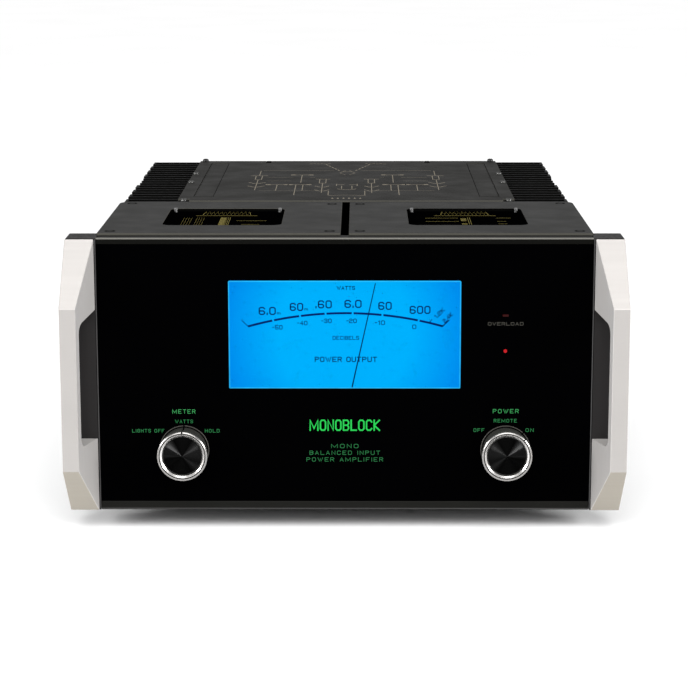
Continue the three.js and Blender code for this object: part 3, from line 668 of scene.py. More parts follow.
class Print:
    """Flat lettering and lines on one plane, gathered in one thin mesh.

    It is drawn across x and up y, with z out of the page, and then turned and placed.
    """

    def __init__(self, place, facing=Matrix()):
        self.bm = bmesh.new()
        self.plane = Matrix.Translation(place) @ facing

    def outline(self, points):
        """A filled convex outline."""
        low = [self.bm.verts.new((u, v, 0)) for u, v in points]
        high = [self.bm.verts.new((u, v, INK)) for u, v in points]
        close_prism(self.bm, low, high)

    def stroke(self, points, pen, square_ends=True):
        """A pen line through the points, with mitred corners. It may close on itself."""
        points = [Vector(point) for point in points]
        closed = (points[0] - points[-1]).length < 1e-6
        if closed:
            points.pop()
        count = len(points)
        cap = pen / 2 if square_ends else 0
        sides = []
        for i, point in enumerate(points):
            before = (point - points[i - 1]).normalized()
            after = (points[(i + 1) % count] - point).normalized()
            if not closed and i == 0:
                before = after
                point = point - after * cap
            if not closed and i == count - 1:
                after = before
                point = point + before * cap
            along = (before + after).normalized()
            reach = pen / 2 / max(0.55, along.dot(after))
            aside = Vector((-along.y, along.x)) * reach
            left, right = point + aside, point - aside
            corners = ((left, 0), (left, INK), (right, INK), (right, 0))
            sides.append([self.bm.verts.new((p.x, p.y, out)) for p, out in corners])
        if closed:
            sides.append(sides[0])
        else:
            self.bm.faces.new(sides[0])
            self.bm.faces.new(sides[-1])
        for first, second in zip(sides, sides[1:]):
            for i in range(4):
                j = (i + 1) % 4
                self.bm.faces.new((first[i], first[j], second[j], second[i]))

    def line(self, start, end, pen):
        self.stroke((start, end), pen)

    def rectangle(self, low, high, pen):
        (u0, v0), (u1, v1) = low, high
        self.stroke([(u0, v0), (u0, v1), (u1, v1), (u1, v0), (u0, v0)], pen)

    def arc(self, centre, radius, start_deg, end_deg, pen):
        """Part of a circle; angles are clockwise from straight up."""
        points = []
        steps = 12
        for i in range(steps + 1):
            angle = math.radians(start_deg + (end_deg - start_deg) * i / steps)
            spoke = Vector((math.sin(angle), math.cos(angle))) * radius
            points.append(Vector(centre) + spoke)
        self.stroke(points, pen, square_ends=False)

    def text(self, words, centre, width, height, pen, turn=0.0, gap=2.0):
        """Words that fill a width and height about a centre; turn is clockwise, in degrees."""
        strokes, length = lettering(words, gap)
        spin = Matrix.Rotation(-math.radians(turn), 2)
        across = (width - pen) / max(length, 1)
        up = (height - pen) / LETTER_HEIGHT
        middle = Vector((length / 2, LETTER_HEIGHT / 2))
        for points in strokes:
            offsets = [point - middle for point in points]
            placed = [spin @ Vector((o.x * across, o.y * up)) for o in offsets]
            self.stroke([Vector(centre) + point for point in placed], pen)

    def finish(self, name, material, node):
        self.bm.transform(self.plane)
        return make_piece(name, self.bm, material, node)


# ---- fasteners
def socket_head(profile):
    """A head from its profile, of which the second and third points are a hexagon socket."""

    def reach(index, r, angle):
        return hexagon(r, angle) if index in (1, 2) else r

    return lathe(profile, 24, reach)


def screw_head(radius, height, socket):
    """A round head with a hexagon socket, standing on z = 0."""
    floor = height * 0.25
    crown = [(radius * 0.7, height), (radius * 0.92, height * 0.75), (radius, height * 0.4)]
    return socket_head(
        [(0, floor), (socket, floor), (socket, height), *crown, (radius, 0), (0, 0)]
    )


def flush_screw():
    """A small countersunk head, level with the sheet round it."""
    socket = [(0, -0.4), (1.1, -0.4), (1.1, 0.12)]
    return socket_head([*socket, (2.3, 0.12), (2.6, 0.03), (2.6, -0.5), (0, -0.5)])


def screw_dimple_shade():
    """Painted shade: a flat black ring round a countersunk head, where its dimple lies in shadow."""
    return lathe([(2.7, -0.5), (2.7, 0.04), (4.4, 0.04), (4.4, -0.5)], 24)


def add_screws(name, head, places, material, node, turn=Matrix()):
    """One piece of identical screws. turn points their +Z the way the heads face."""
    bm = bmesh.new()
    for place in places:
        add_copy(bm, head, Matrix.Translation(place) @ turn)
    head.free()
    return make_piece(name, bm, material, node)


# ---- front panel
HANDLE_WAIST = 0.5  # how far the outer face stands in at its back edge
HANDLE_LEAN = 2.1  # how far it leans out from there to its front edge


def lean_handle(mesh, node):
    """Leans a handle's outer face outwards, so that the handle is widest at its front."""
    low, high = box_mm(node)
    outer = half_widths(node)[1]
    for vertex in mesh.vertices:
        spot = TO_FRAME.inverted() @ vertex.co
        if abs(spot.x) > outer - 0.1:
            forward = (high.y - spot.y) / (high.y - low.y)
            shift = HANDLE_LEAN * forward - HANDLE_WAIST
            vertex.co.x += math.copysign(shift * MM, spot.x)
    mesh.update()


def paint_handle_light_and_shade(mesh):
    """Painted light: a paler copy of the metal on the sides and the top. Painted shade: a warmer, darker copy on
    what faces down, for the shaded floor it reflects.
    """
    for finish in ("handle_painted_light", "handle_painted_shade"):
        mesh.materials.append(MATERIALS[finish])
    for polygon in mesh.polygons:
        sideways, up = abs(polygon.normal.x), polygon.normal.z
        if sideways > 0.9 or up > 0.9:
            polygon.material_index = 1
        elif up < -0.3:
            polygon.material_index = 2


def add_front_panel():
    refine("front_glass", "panel_glass", 0.3)
    refine("meter_window", "meter_lens", 0.2)
    refine("top_trim", "trim_black", 0.7, 3)
    refine("bottom_trim", "bottom_trim_black", 0.7, 3)
    refine("front_subpanel", "trim_black", 0.3)
    for side in SIDES:
        refine("side_rail_" + side, "rail_black", 0.6, 3)
        handle = refine("handle_" + side, "handle_aluminium", 0.7, 3)
        lean_handle(handle.data, "handle_" + side)
        paint_handle_light_and_shade(handle.data)
    add_trim_edges()
    for side, sign in SIDES.items():
        add_rail_edges(side, sign)


def add_trim_edges():
    """Painted highlights: a paler chamfer strip along the top trim's front edge, and a paler lip along the bottom
    one, where light catches these edges.
    """
    low, high = box_mm("top_trim")
    chamfer = [(-0.05, -0.5), (-0.05, 0.1), (0.5, 0.65), (0.9, 0.65), (0.9, -0.5)]
    bm = bmesh.new()
    ends = []
    for x in (low.x, high.x):
        ends.append([bm.verts.new((x, low.y + y, high.z + z)) for y, z in chamfer])
    close_prism(bm, *ends)
    make_piece("top_trim_edge", bm, "trim_edge_highlight", "top_trim")
    low, high = box_mm("bottom_trim")
    lip = block((low.x, low.y - 0.05, low.z + 0.7), (high.x, low.y + 0.5, low.z + 1.4))
    make_piece("bottom_trim_edge", lip, "rail_edge_highlight", "bottom_trim")


def add_rail_edges(side, sign):
    """A painted highlight down the inner part of a rail's front, and painted shade at the handle: a black strip
    where the gap between rail and handle lies in shadow.
    """
    rail = "side_rail_" + side
    handle_x = half_widths("handle_" + side)[0]
    rail_x = half_widths(rail)[0]
    gap_shade_x = handle_x - 0.5
    low, high = box_mm(rail)
    for name, start, end, finish in (
        ("_edge", rail_x + 0.05, gap_shade_x, "rail_edge_highlight"),
        ("_gap_shade", gap_shade_x, handle_x + 0.05, "black_and_painted_shade"),
    ):
        x0, x1 = sorted((sign * start, sign * end))
        strip = block((x0, low.y - 0.05, low.z + 0.6), (x1, low.y + 0.7, high.z - 0.6))
        make_piece(rail + name, strip, finish, rail)


ON_GLASS = (0, -HAIR, 0)
HEADING_HEIGHT = 3.4
LABEL_HEIGHT = 2.9
LABEL_PEN = 0.38
LABEL_GAP = 2.8


def add_front_lettering():
    """The green names of the switches and of their positions, and the name between them."""
    knob = middle_mm("power_knob_ring")
    knob_x, knob_z = knob.x, knob.z
    headings, labels, name = (Print(ON_GLASS, FACING_FRONT) for _ in range(3))
    for words, x, z, width in (
        ("METER", -knob_x, knob_z + 31.3, 18.6),
        ("WATTS", -knob_x, knob_z + 23.1, 14.5),
        ("LIGHTS OFF", -knob_x - 29.0, knob_z + 15.3, 26),
        ("HOLD", -knob_x + 22.7, knob_z + 15.3, 11.8),
        ("POWER", knob_x, knob_z + 31.7, 20.8),
        ("REMOTE", knob_x - 0.3, knob_z + 23.8, 18.6),
        ("OFF", knob_x - 21.5, knob_z + 16, 8.8),
        ("ON", knob_x + 19.4, knob_z + 16, 6.6),
        ("MONO", 0, knob_z + 2.7, 22),
        ("BALANCED INPUT", 0, knob_z - 2.9, 57),
        ("POWER AMPLIFIER", 0, knob_z - 8.5, 62),
    ):
        height = HEADING_HEIGHT if x == 0 or words in ("METER", "POWER") else LABEL_HEIGHT
        layer = headings if words in ("METER", "POWER") else labels
        layer.text(words, (x, z), width, height, LABEL_PEN, gap=LABEL_GAP)
    headings.finish("front_headings", "heading_green", "front_glass")
    labels.finish("front_labels", "label_green", "front_glass")

    name.text("MONOBLOCK", (0, knob_z + 20), 57, 9.4, 1.2)
    name.finish("front_name", "name_green", "front_glass")


def add_lamps():
    lamp = middle_mm("overload_lamp")
    lamp_label = Print(ON_GLASS, FACING_FRONT)
    lamp_label.text("OVERLOAD", (lamp.x, lamp.z - 6.6), 28.4, 2.7, 0.36)
    lamp_label.finish("lamp_label", "tan_ink", "front_glass")
    dress("overload_lamp", "lamp_dim")
    dress("standby_lamp", "lamp_lit")


# ---- meter
SCALE_TOP = 178.1  # height of the middle of the scale's line
SCALE_RADIUS = 290
SCALE_CENTRE = Vector((0.8, SCALE_TOP - SCALE_RADIUS))
SCALE_ENDS = (-45.6, 45.9)  # degrees clockwise from upright, about the needle's pivot
# Angle, words, their middle (x, z), their width, and the unit after them.
POWER_MARKS = (
    (-35.4, "6.0", -62.4, 179.9, 13.8, "m"),
    (-23.0, "60", -38.8, 183.2, 10.8, "m"),
    (-10.1, ".60", -17.0, 185.3, 13.2, ""),
    (4.2, "6.0", 6.7, 185.7, 13.8, ""),
    (19.5, "60", 32.4, 184.1, 10.8, ""),
    (36.3, "600", 60.6, 180.8, 16.8, ""),
)
LEVEL_MARKS = (
    ("-50", -54.3, 166.5),
    ("-40", -34.2, 170.0),
    ("-30", -14.7, 171.8),
    ("-20", 5.5, 171.8),
    ("-10", 28.3, 170.3),
    ("0", 56.0, 166.9),
)


def scale_point(pivot, angle_deg, beyond=0.0):
    """Where a line from the pivot at this angle meets the scale's line."""
    angle = math.radians(angle_deg)
    direction = Vector((math.sin(angle), math.cos(angle)))
    start = pivot - SCALE_CENTRE
    along = start.dot(direction)
    distance = -along + math.sqrt(along**2 - start.length_squared + SCALE_RADIUS**2)
    return pivot + direction * (distance + beyond)


def scale_angle(point):
    """The angle about the scale's own centre, clockwise from straight up."""
    spoke = point - SCALE_CENTRE
    return math.degrees(math.atan2(spoke.x, spoke.y))


def draw_scale_line(scale):
    """The scale's curved line, with a gap at each power mark, and its ticks."""
    joint = next(j for j in frame["joints"] if j["name"] == "needle_swing")
    pivot = Vector(joint["pos_m"]).xz / MM
    stops = [SCALE_ENDS[0]] + [mark[0] for mark in POWER_MARKS] + [SCALE_ENDS[1]]
    gap = math.degrees(0.75 / SCALE_RADIUS)
    for first, second in zip(stops, stops[1:]):
        start = scale_angle(scale_point(pivot, first)) + (0 if first == stops[0] else gap)
        end = scale_angle(scale_point(pivot, second)) - (0 if second == stops[-1] else gap)
        scale.arc(SCALE_CENTRE, SCALE_RADIUS, start, end, 1.7)
    ticks = ((SCALE_ENDS[0], 0.6, 7.0), (40.6, 0.6, 3.4), (SCALE_ENDS[1], 0.9, 7.0))
    for angle, pen, length in ticks:
        scale.line(scale_point(pivot, angle), scale_point(pivot, angle, length), pen)


def add_scale():
    """The printing on the dial."""
    dial_face = box_mm("meter_dial")[0].y
    scale = Print((0, dial_face - HAIR, 0), FACING_FRONT)
    draw_scale_line(scale)
    for _, words, x, z, width, unit in POWER_MARKS:
        scale.text(words, (x, z), width, 6.6, 1.0)
        if unit:
            scale.text(unit, (x + width / 2 + 2.4, z - 1.7), 2.8, 2.4, 0.45)
    for words, x, z in LEVEL_MARKS:
        scale.text(words, (x, z), 2.5 * len(words) + 0.8, 3.7, 0.6)
    for words, x, z in (("1.2K", 76.3, 178.2), ("2.4K", 82.9, 174.4)):
        scale.text(words, (x, z), 9.6, 3.4, 0.62, turn=-45)
    for words, z, width, height, pen in (
        ("WATTS", 198.7, 14.8, 3.2, 0.55),
        ("DECIBELS", 157.8, 21.4, 3.2, 0.5),
        ("POWER OUTPUT", 140.1, 50.4, 4.4, 0.75),
    ):
        scale.text(words, (0.9, z), width, height, pen)
    scale.finish("meter_scale", "dial_ink", "meter_dial")


def add_window_edge_glow():
    """A painted highlight: a thin glowing blue line round the meter, where the edge of the glass shows lighter."""
    low, high = box_mm("meter_window")
    line = Print((0, low.y - HAIR, 0), FACING_FRONT)
    inset = 0.45
    line.rectangle((low.x + inset, low.z + inset), (high.x - inset, high.z - inset), 0.8)
    line.finish("window_edge_glow", "window_edge_glow", "meter_window")


def add_meter():
    dress("meter_dial", "dial_blue")
    refine("meter_needle", "needle_navy", 0.08, 1)
    add_scale()
    add_window_edge_glow()
    dress("meter_housing", "black_plastic")
    dress("meter_movement", "black_plastic")
    dress("meter_light_board", "board_green")


# ---- knobs
KNOB_GRIP_RADIUS = 18.3
FLUTES = 120


def deepen(profile, depth):
    """The same profile, this much further out."""
    return [(radius, height + depth) for radius, height in profile]


def knob_grip(depth):
    """The fluted grip, about +Z, with z = 0 at the glass."""
    profile = [
        (0, 2.1), (KNOB_GRIP_RADIUS, 2.1), (KNOB_GRIP_RADIUS, depth - 7.2),
        (16.0, depth - 6.6), (16.0, depth - 3.0), (0, depth - 3.0),
    ]

    def reach(index, r, angle):
        fluted = index in (1, 2)
        return r + 0.14 * math.cos(FLUTES * angle) if fluted else r

    return lathe(profile, FLUTES * 4, reach)


def knob_disc(depth):
    """The spun face plate: a very shallow cone that stands out at its middle."""
    profile = [
        (0, -3.2), (15.2, -3.2), (15.35, -2.3), (15.2, -1.9), (14.9, -1.8), (0.4, -0.5),
        (0, -0.5),
    ]
    return lathe(deepen(profile, depth), 128)


def ring_body(depth):
    """The black body of the ring at the knob's front, up to the floor of its groove."""
    profile = [
        (16.4, -6.6), (16.4, -1.9), (17.7, -1.7), (19.0, -1.7), (19.6, -0.75),
        (20.1, -0.65), (20.15, -0.8), (20.15, -6.3), (19.9, -6.6),
    ]
    return lathe(deepen(profile, depth), 128)


def outer_band(depth):
    """A bright bevel that faces outwards."""
    profile = [
        (18.65, -1.9), (18.65, -0.15), (18.75, 0), (19.2, 0), (19.95, -0.45),
        (20.05, -0.6), (20.05, -2.1),
    ]
    return lathe(deepen(profile, depth), 192)


def inner_band(depth):
    """A bright bevel that faces inwards."""
    profile = [
        (16.3, -2.0), (16.3, -1.45), (17.6, -0.25), (17.75, -0.25), (17.8, -0.4),
        (17.8, -1.9),
    ]
    return lathe(deepen(profile, depth), 192)


def base_ring():
    """The thin black ring next to the glass."""
    return lathe([(0, 0.5), (19.9, 0.5), (20.1, 0.8), (20.1, 1.9), (0, 1.9)], 128)


def base_edge():
    """A painted highlight: the front edge of the base ring, paler than the ring itself."""
    return lathe([(19.5, 1.8), (19.5, 2.25), (20.0, 2.25), (20.15, 2.1), (20.15, 1.8)], 128)


def add_spun_map(mesh, centre):
    """A map whose across direction runs round the knob's axis, mirrored on the right, which mirrors the painted
    sheen there too.
    """
    layer = mesh.uv_layers.new(name=SPUN_MAP)
    sign = -1 if centre.x > 0 else 1
    for polygon in mesh.polygons:
        middle = polygon.center
        base = math.atan2(middle.z - centre.z, sign * (middle.x - centre.x))
        for index in polygon.loop_indices:
            spot = mesh.vertices[mesh.loops[index].vertex_index].co
            angle = math.atan2(spot.z - centre.z, sign * (spot.x - centre.x))
            angle = base + (angle - base + math.pi) % (2 * math.pi) - math.pi
            radius = math.hypot(spot.x - centre.x, spot.z - centre.z)
            layer.data[index].uv = (angle, radius / MM)


def add_knob(name, turn_deg):
    """A knob whose pointer rests this far clockwise from straight up, and its switch."""
    low, high = box_mm(name + "_knob_ring")
    centre = (low + high) / 2
    depth = -low.y
    turn = turned(-turn_deg, "Z")
    placing = Matrix.Translation((centre.x, 0, centre.z)) @ FACING_FRONT @ turn

    def place(part, piece_name, material, node, stands_for=()):
        part.transform(placing)
        return make_piece(piece_name, part, material, node, stands_for)

    def notch(inner, start, end):
        """The pointer's slot, straight up from the axis."""
        half_width = 0.65
        return block((-half_width, inner, start), (half_width, 21, end))

    knob, ring = name + "_knob", name + "_knob_ring"
    grip = carve(knob_grip(depth), notch(KNOB_GRIP_RADIUS - 0.9, 1.3, depth - 6))
    place(grip, name + "_knob_grip", "knob_grip", knob, [knob])
    # Painted shade: a black strip on the floor of the pointer's slot.
    half_width = 0.6
    slot_floor = block((-half_width, 16, 1.9), (half_width, KNOB_GRIP_RADIUS - 0.6, depth - 6.1))
    place(slot_floor, name + "_knob_pointer_shade", "black_and_painted_shade", knob)
    place(base_ring(), name + "_knob_base", "black_and_painted_shade", knob)
    edge = carve(base_edge(), notch(19, 0, 4))
    place(edge, name + "_knob_base_edge", "collar_rim_highlight", knob)
    disc = place(knob_disc(depth), name + "_knob_disc", "spun_black_painted_sheen", knob)
    add_spun_map(disc.data, TO_FRAME @ Vector((centre.x, 0, centre.z)))
    body = carve(ring_body(depth), notch(18.5, depth - 8, depth + 1))
    place(body, name + "_ring_body", "knob_grip", ring, [ring])
    band = carve(outer_band(depth), notch(18.5, depth - 8, depth + 1))
    place(band, name + "_ring_outer_band", "ring_edge", ring)
    place(inner_band(depth), name + "_ring_inner_band", "diamond_cut_edge", ring)

    dress(name + "_switch_shaft", "satin_steel")
    dress(name + "_switch_body", "black_plastic")


# ---- transformer covers
# The diagrams on the two labels, measured across from the window's middle and forward from
# its back edge. A group is (first line, lines, pitch, pen, back end, front end); a row is a
# dashed line (start, end, distance from the back edge).
LABEL_GROUPS = {
    "left": (
        (-35, 4, 2.2, 0.13, 38, 83),
        (-24, 4, 2.0, 0.13, 38, 83),
        (-3.6, 5, 0.95, 0.5, 38, 85),
        (1.3, 3, 1.45, 0.3, 38, 85),
    ),
    "right": (
        (-4.2, 5, 0.95, 0.4, 43, 59),
        (1.6, 2, 1.7, 0.3, 38, 79),
        (-4.2, 5, 0.95, 0.4, 72, 79),
    ),
}
LABEL_ROWS = {
    "left": ((10.5, 36, 56.6), (15.5, 31, 78)),
    "right": ((-34, -5, 41.5), (-34, -5, 60.8), (26, 40, 41), (26, 34, 60.8), (26, 36, 75)),
}
LABEL_LIFT = 2  # thickness of the printed plate that lies on the label glass
LABEL_RIM = 3  # how far the glass reaches under the window's rim on each side
WINDOW_RADIUS = 8


def label_print(top, side, low, high):
    """Winding diagrams, with no lettering."""
    drawing = Print((0, 0, top - HAIR))
    middle_x = (low.x + high.x) / 2
    teeth = [(middle_x - 20.4 + i * 1.7, high.y - (3 if i % 2 else 21)) for i in range(25)]
    drawing.stroke(teeth, 0.55, square_ends=False)
    drawing.line((middle_x - 25.6, high.y - 27), (middle_x + 25.8, high.y - 27), 0.9)
    for first, count, pitch, pen, back, front in LABEL_GROUPS[side]:
        for i in range(count):
            u = middle_x + first + i * pitch
            drawing.line((u, high.y - back), (u, high.y - front), pen)
    for start, end, back in LABEL_ROWS[side]:
        dash = 1.7
        for i in range(int((end - start) / (1.5 * dash))):
            u = middle_x + start + i * 1.5 * dash
            drawing.line((u, high.y - back), (u + dash, high.y - back), 0.6)
    return drawing


def rounded_plate(low, high, radius):
    """A level plate with rounded corners."""
    plate = block(low, high)
    upright = [e for e in plate.edges if abs(e.verts[0].co.z - e.verts[1].co.z) > 0.1]
    round_edges(plate, upright, radius, 6)
    return plate


def add_transformer(side, sign):
    """A can with its cover, the cover's screws and its label glass."""
    cover = "can_cover_" + side
    lid = refine(cover, "cover_black", 1.0, 3)
    refine("transformer_can_" + side, "can_black", 1.2, 3)
    refine("label_glass_" + side, "label_glass_black", 0.2)
    low, high = box_mm(cover)
    inner, outer = half_widths(cover)
    screws = [
        (sign * (inner + 8.8), low.y + 11.6, high.z),
        (sign * (outer - 9.6), low.y + 11.6, high.z),
        (sign * (inner + 8.8), high.y - 15.2, high.z),
        (sign * (outer - 11.2), high.y - 10.6, high.z),
    ]
    add_screws(cover + "_screws", flush_screw(), screws, "cover_black", cover)
    # Painted shade round each screw head.
    add_screws(cover + "_dimple_shades", screw_dimple_shade(), screws, "black_and_painted_shade", cover)
    add_label(side, lid)


def add_label(side, lid):
    """The printed plate on the label glass, under the window in the lid, and its two studs."""
    glass = "label_glass_" + side
    low, high = box_mm(glass)
    window_low = low + Vector((LABEL_RIM, LABEL_RIM, 0))
    window_high = high - Vector((LABEL_RIM, LABEL_RIM, 0))
    # Painted light and shade on the lid.
    paint_lid_light_and_shade(lid, window_low, window_high)
    top = high.z + LABEL_LIFT
    clear = Vector((0.2, 0.2, 0))
    plate_low = Vector((window_low.x, window_low.y, high.z - 0.5)) + clear
    plate_high = Vector((window_high.x, window_high.y, top)) - clear
    plate = rounded_plate(plate_low, plate_high, WINDOW_RADIUS)
    make_piece("label_plate_" + side, plate, "label_glass_black", glass)
    studs = [(x, window_high.y - 5, top) for x in (window_low.x + 4.2, window_high.x - 4.2)]
    stud = lathe([(0, 3.6), (1.3, 3.6), (1.7, 3.2), (1.7, 0), (0, 0)], 24)
    add_screws("label_studs_" + side, stud, studs, "stud_grey", glass)
    drawing = label_print(top, side, window_low, window_high)
    drawing.finish("label_print_" + side, "gold_ink", glass)


def paint_lid_light_and_shade(lid, window_low, window_high):
    """Painted shade: a darker copy of the paint on the walls of the label window. Painted light: a paler copy on
    every bend and on faces that look straight forward.
    """
    for finish in ("cover_rim_shade", "cover_edge_light"):
        lid.data.materials.append(MATERIALS[finish])
    lid.modifiers["edges"].material = 2
    for polygon in lid.data.polygons:
        x = polygon.center.x / MM
        y = (polygon.center.y - GLASS_FACE_Y) / MM
        within_x = window_low.x - 0.5 < x < window_high.x + 0.5
        within_y = window_low.y - 0.5 < y < window_high.y + 0.5
        if within_x and within_y and abs(polygon.normal.z) < 0.5:
            polygon.material_index = 1
        elif polygon.normal.y < -0.9:
            polygon.material_index = 2


# ---- rear upper cover
POCKET_X = (119.5, 137)
POCKET_Y = (234, 484)
CLIP_X = 80
CLIP_DEPTH = 16


def cover_outline(low, high):
    """The sheet from above, with its two front corners cut away round the sink screws."""
    notch = 10.5
    inner_x, inner_y = high.x - notch, low.y + notch
    right = [(inner_x, low.y), (inner_x, inner_y), (high.x, inner_y), (high.x, high.y)]
    left = [(-x, y) for x, y in reversed(right)]
    return right + left


def add_cover_sheet(low, high):
    """The sheet, with its two sunk pockets and a notch for each clip."""
    bm = bmesh.new()
    bottom = [bm.verts.new((x, y, low.z)) for x, y in cover_outline(low, high)]
    bm.faces.new(bottom)
    sheet = bmesh.ops.extrude_face_region(bm, geom=bm.faces[:])
    top = [v for v in sheet["geom"] if isinstance(v, bmesh.types.BMVert)]
    bmesh.ops.translate(bm, vec=(0, 0, high.z - low.z), verts=top)
    cutter = bmesh.new()
    for sign in (-1, 1):
        x0, x1 = sorted(sign * x for x in POCKET_X)
        add_copy(cutter, block((x0, POCKET_Y[0], high.z - 0.45), (x1, POCKET_Y[1], high.z + 1)))
        x = sign * CLIP_X
        notch_low = (x - 2.7, high.y - CLIP_DEPTH, low.z - 1)
        add_copy(cutter, block(notch_low, (x + 2.7, high.y + 1, high.z + 1)))
    carve(bm, cutter)
    sheet = make_piece("top_cover_fine", bm, "top_cover_black", "top_cover", ["top_cover"])
    # Painted light: the front face and every bend of the sheet take a paler copy of its paint.
    sheet.data.materials.append(MATERIALS["cover_edge_light"])
    for polygon in sheet.data.polygons:
        polygon.material_index = int(polygon.normal.y < -0.9)
    soften(sheet, 0.5, 3).material = 1


def add_pocket_lines_and_clips(low, high):
    """A shadow line round each pocket, and a clip in each notch."""
    lines = Print((0, 0, high.z - HAIR))
    clips = bmesh.new()
    for sign in (-1, 1):
        x0, x1 = (sign * x for x in POCKET_X)
        lines.rectangle((x0, POCKET_Y[0]), (x1, POCKET_Y[1]), 0.5)
        x = sign * CLIP_X
        clip_low = (x - 2.5, high.y - CLIP_DEPTH + 0.3, low.z - 0.8)
        add_copy(clips, block(clip_low, (x + 2.5, high.y - 0.2, high.z + 0.1), 0.2))
    lines.finish("cover_pocket_lines", "black_and_painted_shade", "top_cover")
    make_piece("cover_clips", clips, "black_and_painted_shade", "rear_panel")


def add_cover_screws(low, high):
    sink_top = box_mm("heatsink_right")[1].z
    for name, size, inset, rows, z, finish in (
        ("cover_side_screws", (3.0, 1.6, 1.2), 3, (333, 397), high.z, "screw_grey"),
        ("cover_rear_screws", (3.0, 2.6, 1.2), 5.4, (high.y - 4,), high.z, "screw_black"),
        ("sink_front_screws", (3.2, 2.4, 1.3), 5.2, (low.y + 8.5,), sink_top, "screw_grey"),
    ):
        places = [(sign * (high.x - inset), y, z) for sign in (-1, 1) for y in rows]
        add_screws(name, screw_head(*size), places, finish, "top_cover")


def add_top_cover():
    low, high = box_mm("top_cover")
    add_cover_sheet(low, high)
    add_pocket_lines_and_clips(low, high)
    add_cover_screws(low, high)
    add_circuit_print(high.z)


ACROSS_PEN = 1.2
ALONG_PEN = 0.7


def across(drawing, start, end, v, pen=ACROSS_PEN):
    drawing.line((start, v), (end, v), pen)


def along(drawing, u, start, end, pen=ALONG_PEN):
    drawing.line((u, start), (u, end), pen)


def tee(drawing, u, v, half_width, legs):
    """A bar with a dot at each end, and legs (offset, length) towards the front."""
    across(drawing, u - half_width + 2, u + half_width - 2, v)
    for end in (-half_width, half_width):
        across(drawing, u + end - 0.5, u + end + 0.5, v, 4)
    for offset, length in legs:
        along(drawing, u + offset, v, v - length)


def chevron(drawing, u, v, half_width):
    """A shallow V across a stem, as a winding is drawn."""
    left, right = (u - half_width, v + 5), (u + half_width, v + 5)
    drawing.stroke([left, (u - 2, v - 3), (u + 2, v - 3), right], 1.0)


def device(drawing, u, v, half_width, chevrons, pitch, stem):
    """A bar with two legs, over a stem that carries chevrons."""
    across(drawing, u - half_width, u + half_width, v)
    for offset in (-3, 3):
        along(drawing, u + offset, v, v - 30)
    across(drawing, u - 3, u + 3, v - 30)
    along(drawing, u, v - 30, v - stem)
    for i in range(chevrons):
        chevron(drawing, u, v - 56 - i * pitch, half_width)


def add_circuit_print(top):
    """A made-up circuit diagram, the same on both sides of the middle. Its places are across
    from the middle and back from the glass."""
    drawing = Print((0, 0, top - HAIR))
    thin_lines = ((425, 13, 82), (371, 52, 76), (371, 31, 35), (274, 26, 80), (345, 53, 76))
    for flip in (-1, 1):
        for v, start, end in thin_lines:
            across(drawing, flip * start, flip * end, v, 0.35)
        along(drawing, flip * 84.5, 422, 384)
        device(drawing, flip * 84.5, 384, 7.6, 2, 25, 105)
        device(drawing, flip * 22.9, 358, 6.5, 2, 27, 98)
        tee(drawing, flip * 65.1, 317, 8.3, [(0, 43)])
        tee(drawing, flip * 43.5, 390, 8.4, [(0, 57)])
        tee(drawing, flip * 44.3, 317, 8.6, [(-flip * 3.4, 41), (flip * 3.3, 72)])
        along(drawing, flip * 9.6, 322, 308)
        across(drawing, flip * 3, flip * 9, 317)
        along(drawing, flip * 4.8, 308, 288)
        along(drawing, flip * 16.6, 272, 242)
        across(drawing, flip * 16.6, flip * 14, 242)
        for i in range(5):
            u, v = 8 + i * 3, 424 + i * 11
            drawing.line((flip * u, v), (flip * (u + 1.5), v + 6), 1.1)
        for i in range(6):
            across(drawing, flip * (18 + i * 3.6), flip * (19.6 + i * 3.6), 482 - 3 * (i % 2))
        drawing.line((flip * 2, 425), (flip * 7.5, 405), 0.5)
        drawing.line((flip * 7.5, 405), (flip * 2, 392), 0.5)
        for i in range(3):
            u = flip * (2.5 + i * 5)
            drawing.outline([(u - 1.1, 220), (u + 1.1, 220), (u, 227)])
    drawing.arc((0, 222), 22, -38, 38, 0.7)
    drawing.arc((0, 290), 9, 110, 250, 1.0)
    across(drawing, -5, 5, 415)
    drawing.finish("cover_circuit_print", "beige_ink", "top_cover")


# ---- heat sinks and chassis
def add_heat_sink(node, sign):
    """A finned sink, with two rows of screws on its inner face."""
    refine(node, "sink_black", 0.35)
    low, high = box_mm(node)
    x = sign * (half_widths(node)[0] - 0.05)
    rows = [low.y + 47 + i * 100 for i in range(3)]
    places = [(x, y, z) for y in rows for z in (low.z + 30, high.z - 30)]
    head = screw_head(3.4, 2.4, 1.5)
    sideways = turned(-90 * sign, "Y")
    add_screws(node + "_screws", head, places, "screw_black", node, sideways)


def add_foot(node):
    """A turned rubber foot, with a groove round it and a hole in its sole."""
    low, high = box_mm(node)
    radius = (high.x - low.x) / 2
    height = high.z
    sole = [(0, 3), (4, 3), (4, 0.4), (4.5, 0), (radius - 2.5, 0), (radius - 1, 0.6)]
    groove = [
        (radius - 0.3, height * 0.42), (radius - 1.0, height * 0.46),
        (radius - 1.0, height * 0.52), (radius - 0.2, height * 0.56),
    ]
    foot = lathe([*sole, (radius - 0.5, 2), *groove, (radius, height), (0, height)], 64)
    middle = (low + high) / 2
    foot.transform(Matrix.Translation((middle.x, middle.y, 0)))
    make_piece(node + "_fine", foot, "foot_rubber", node, [node])


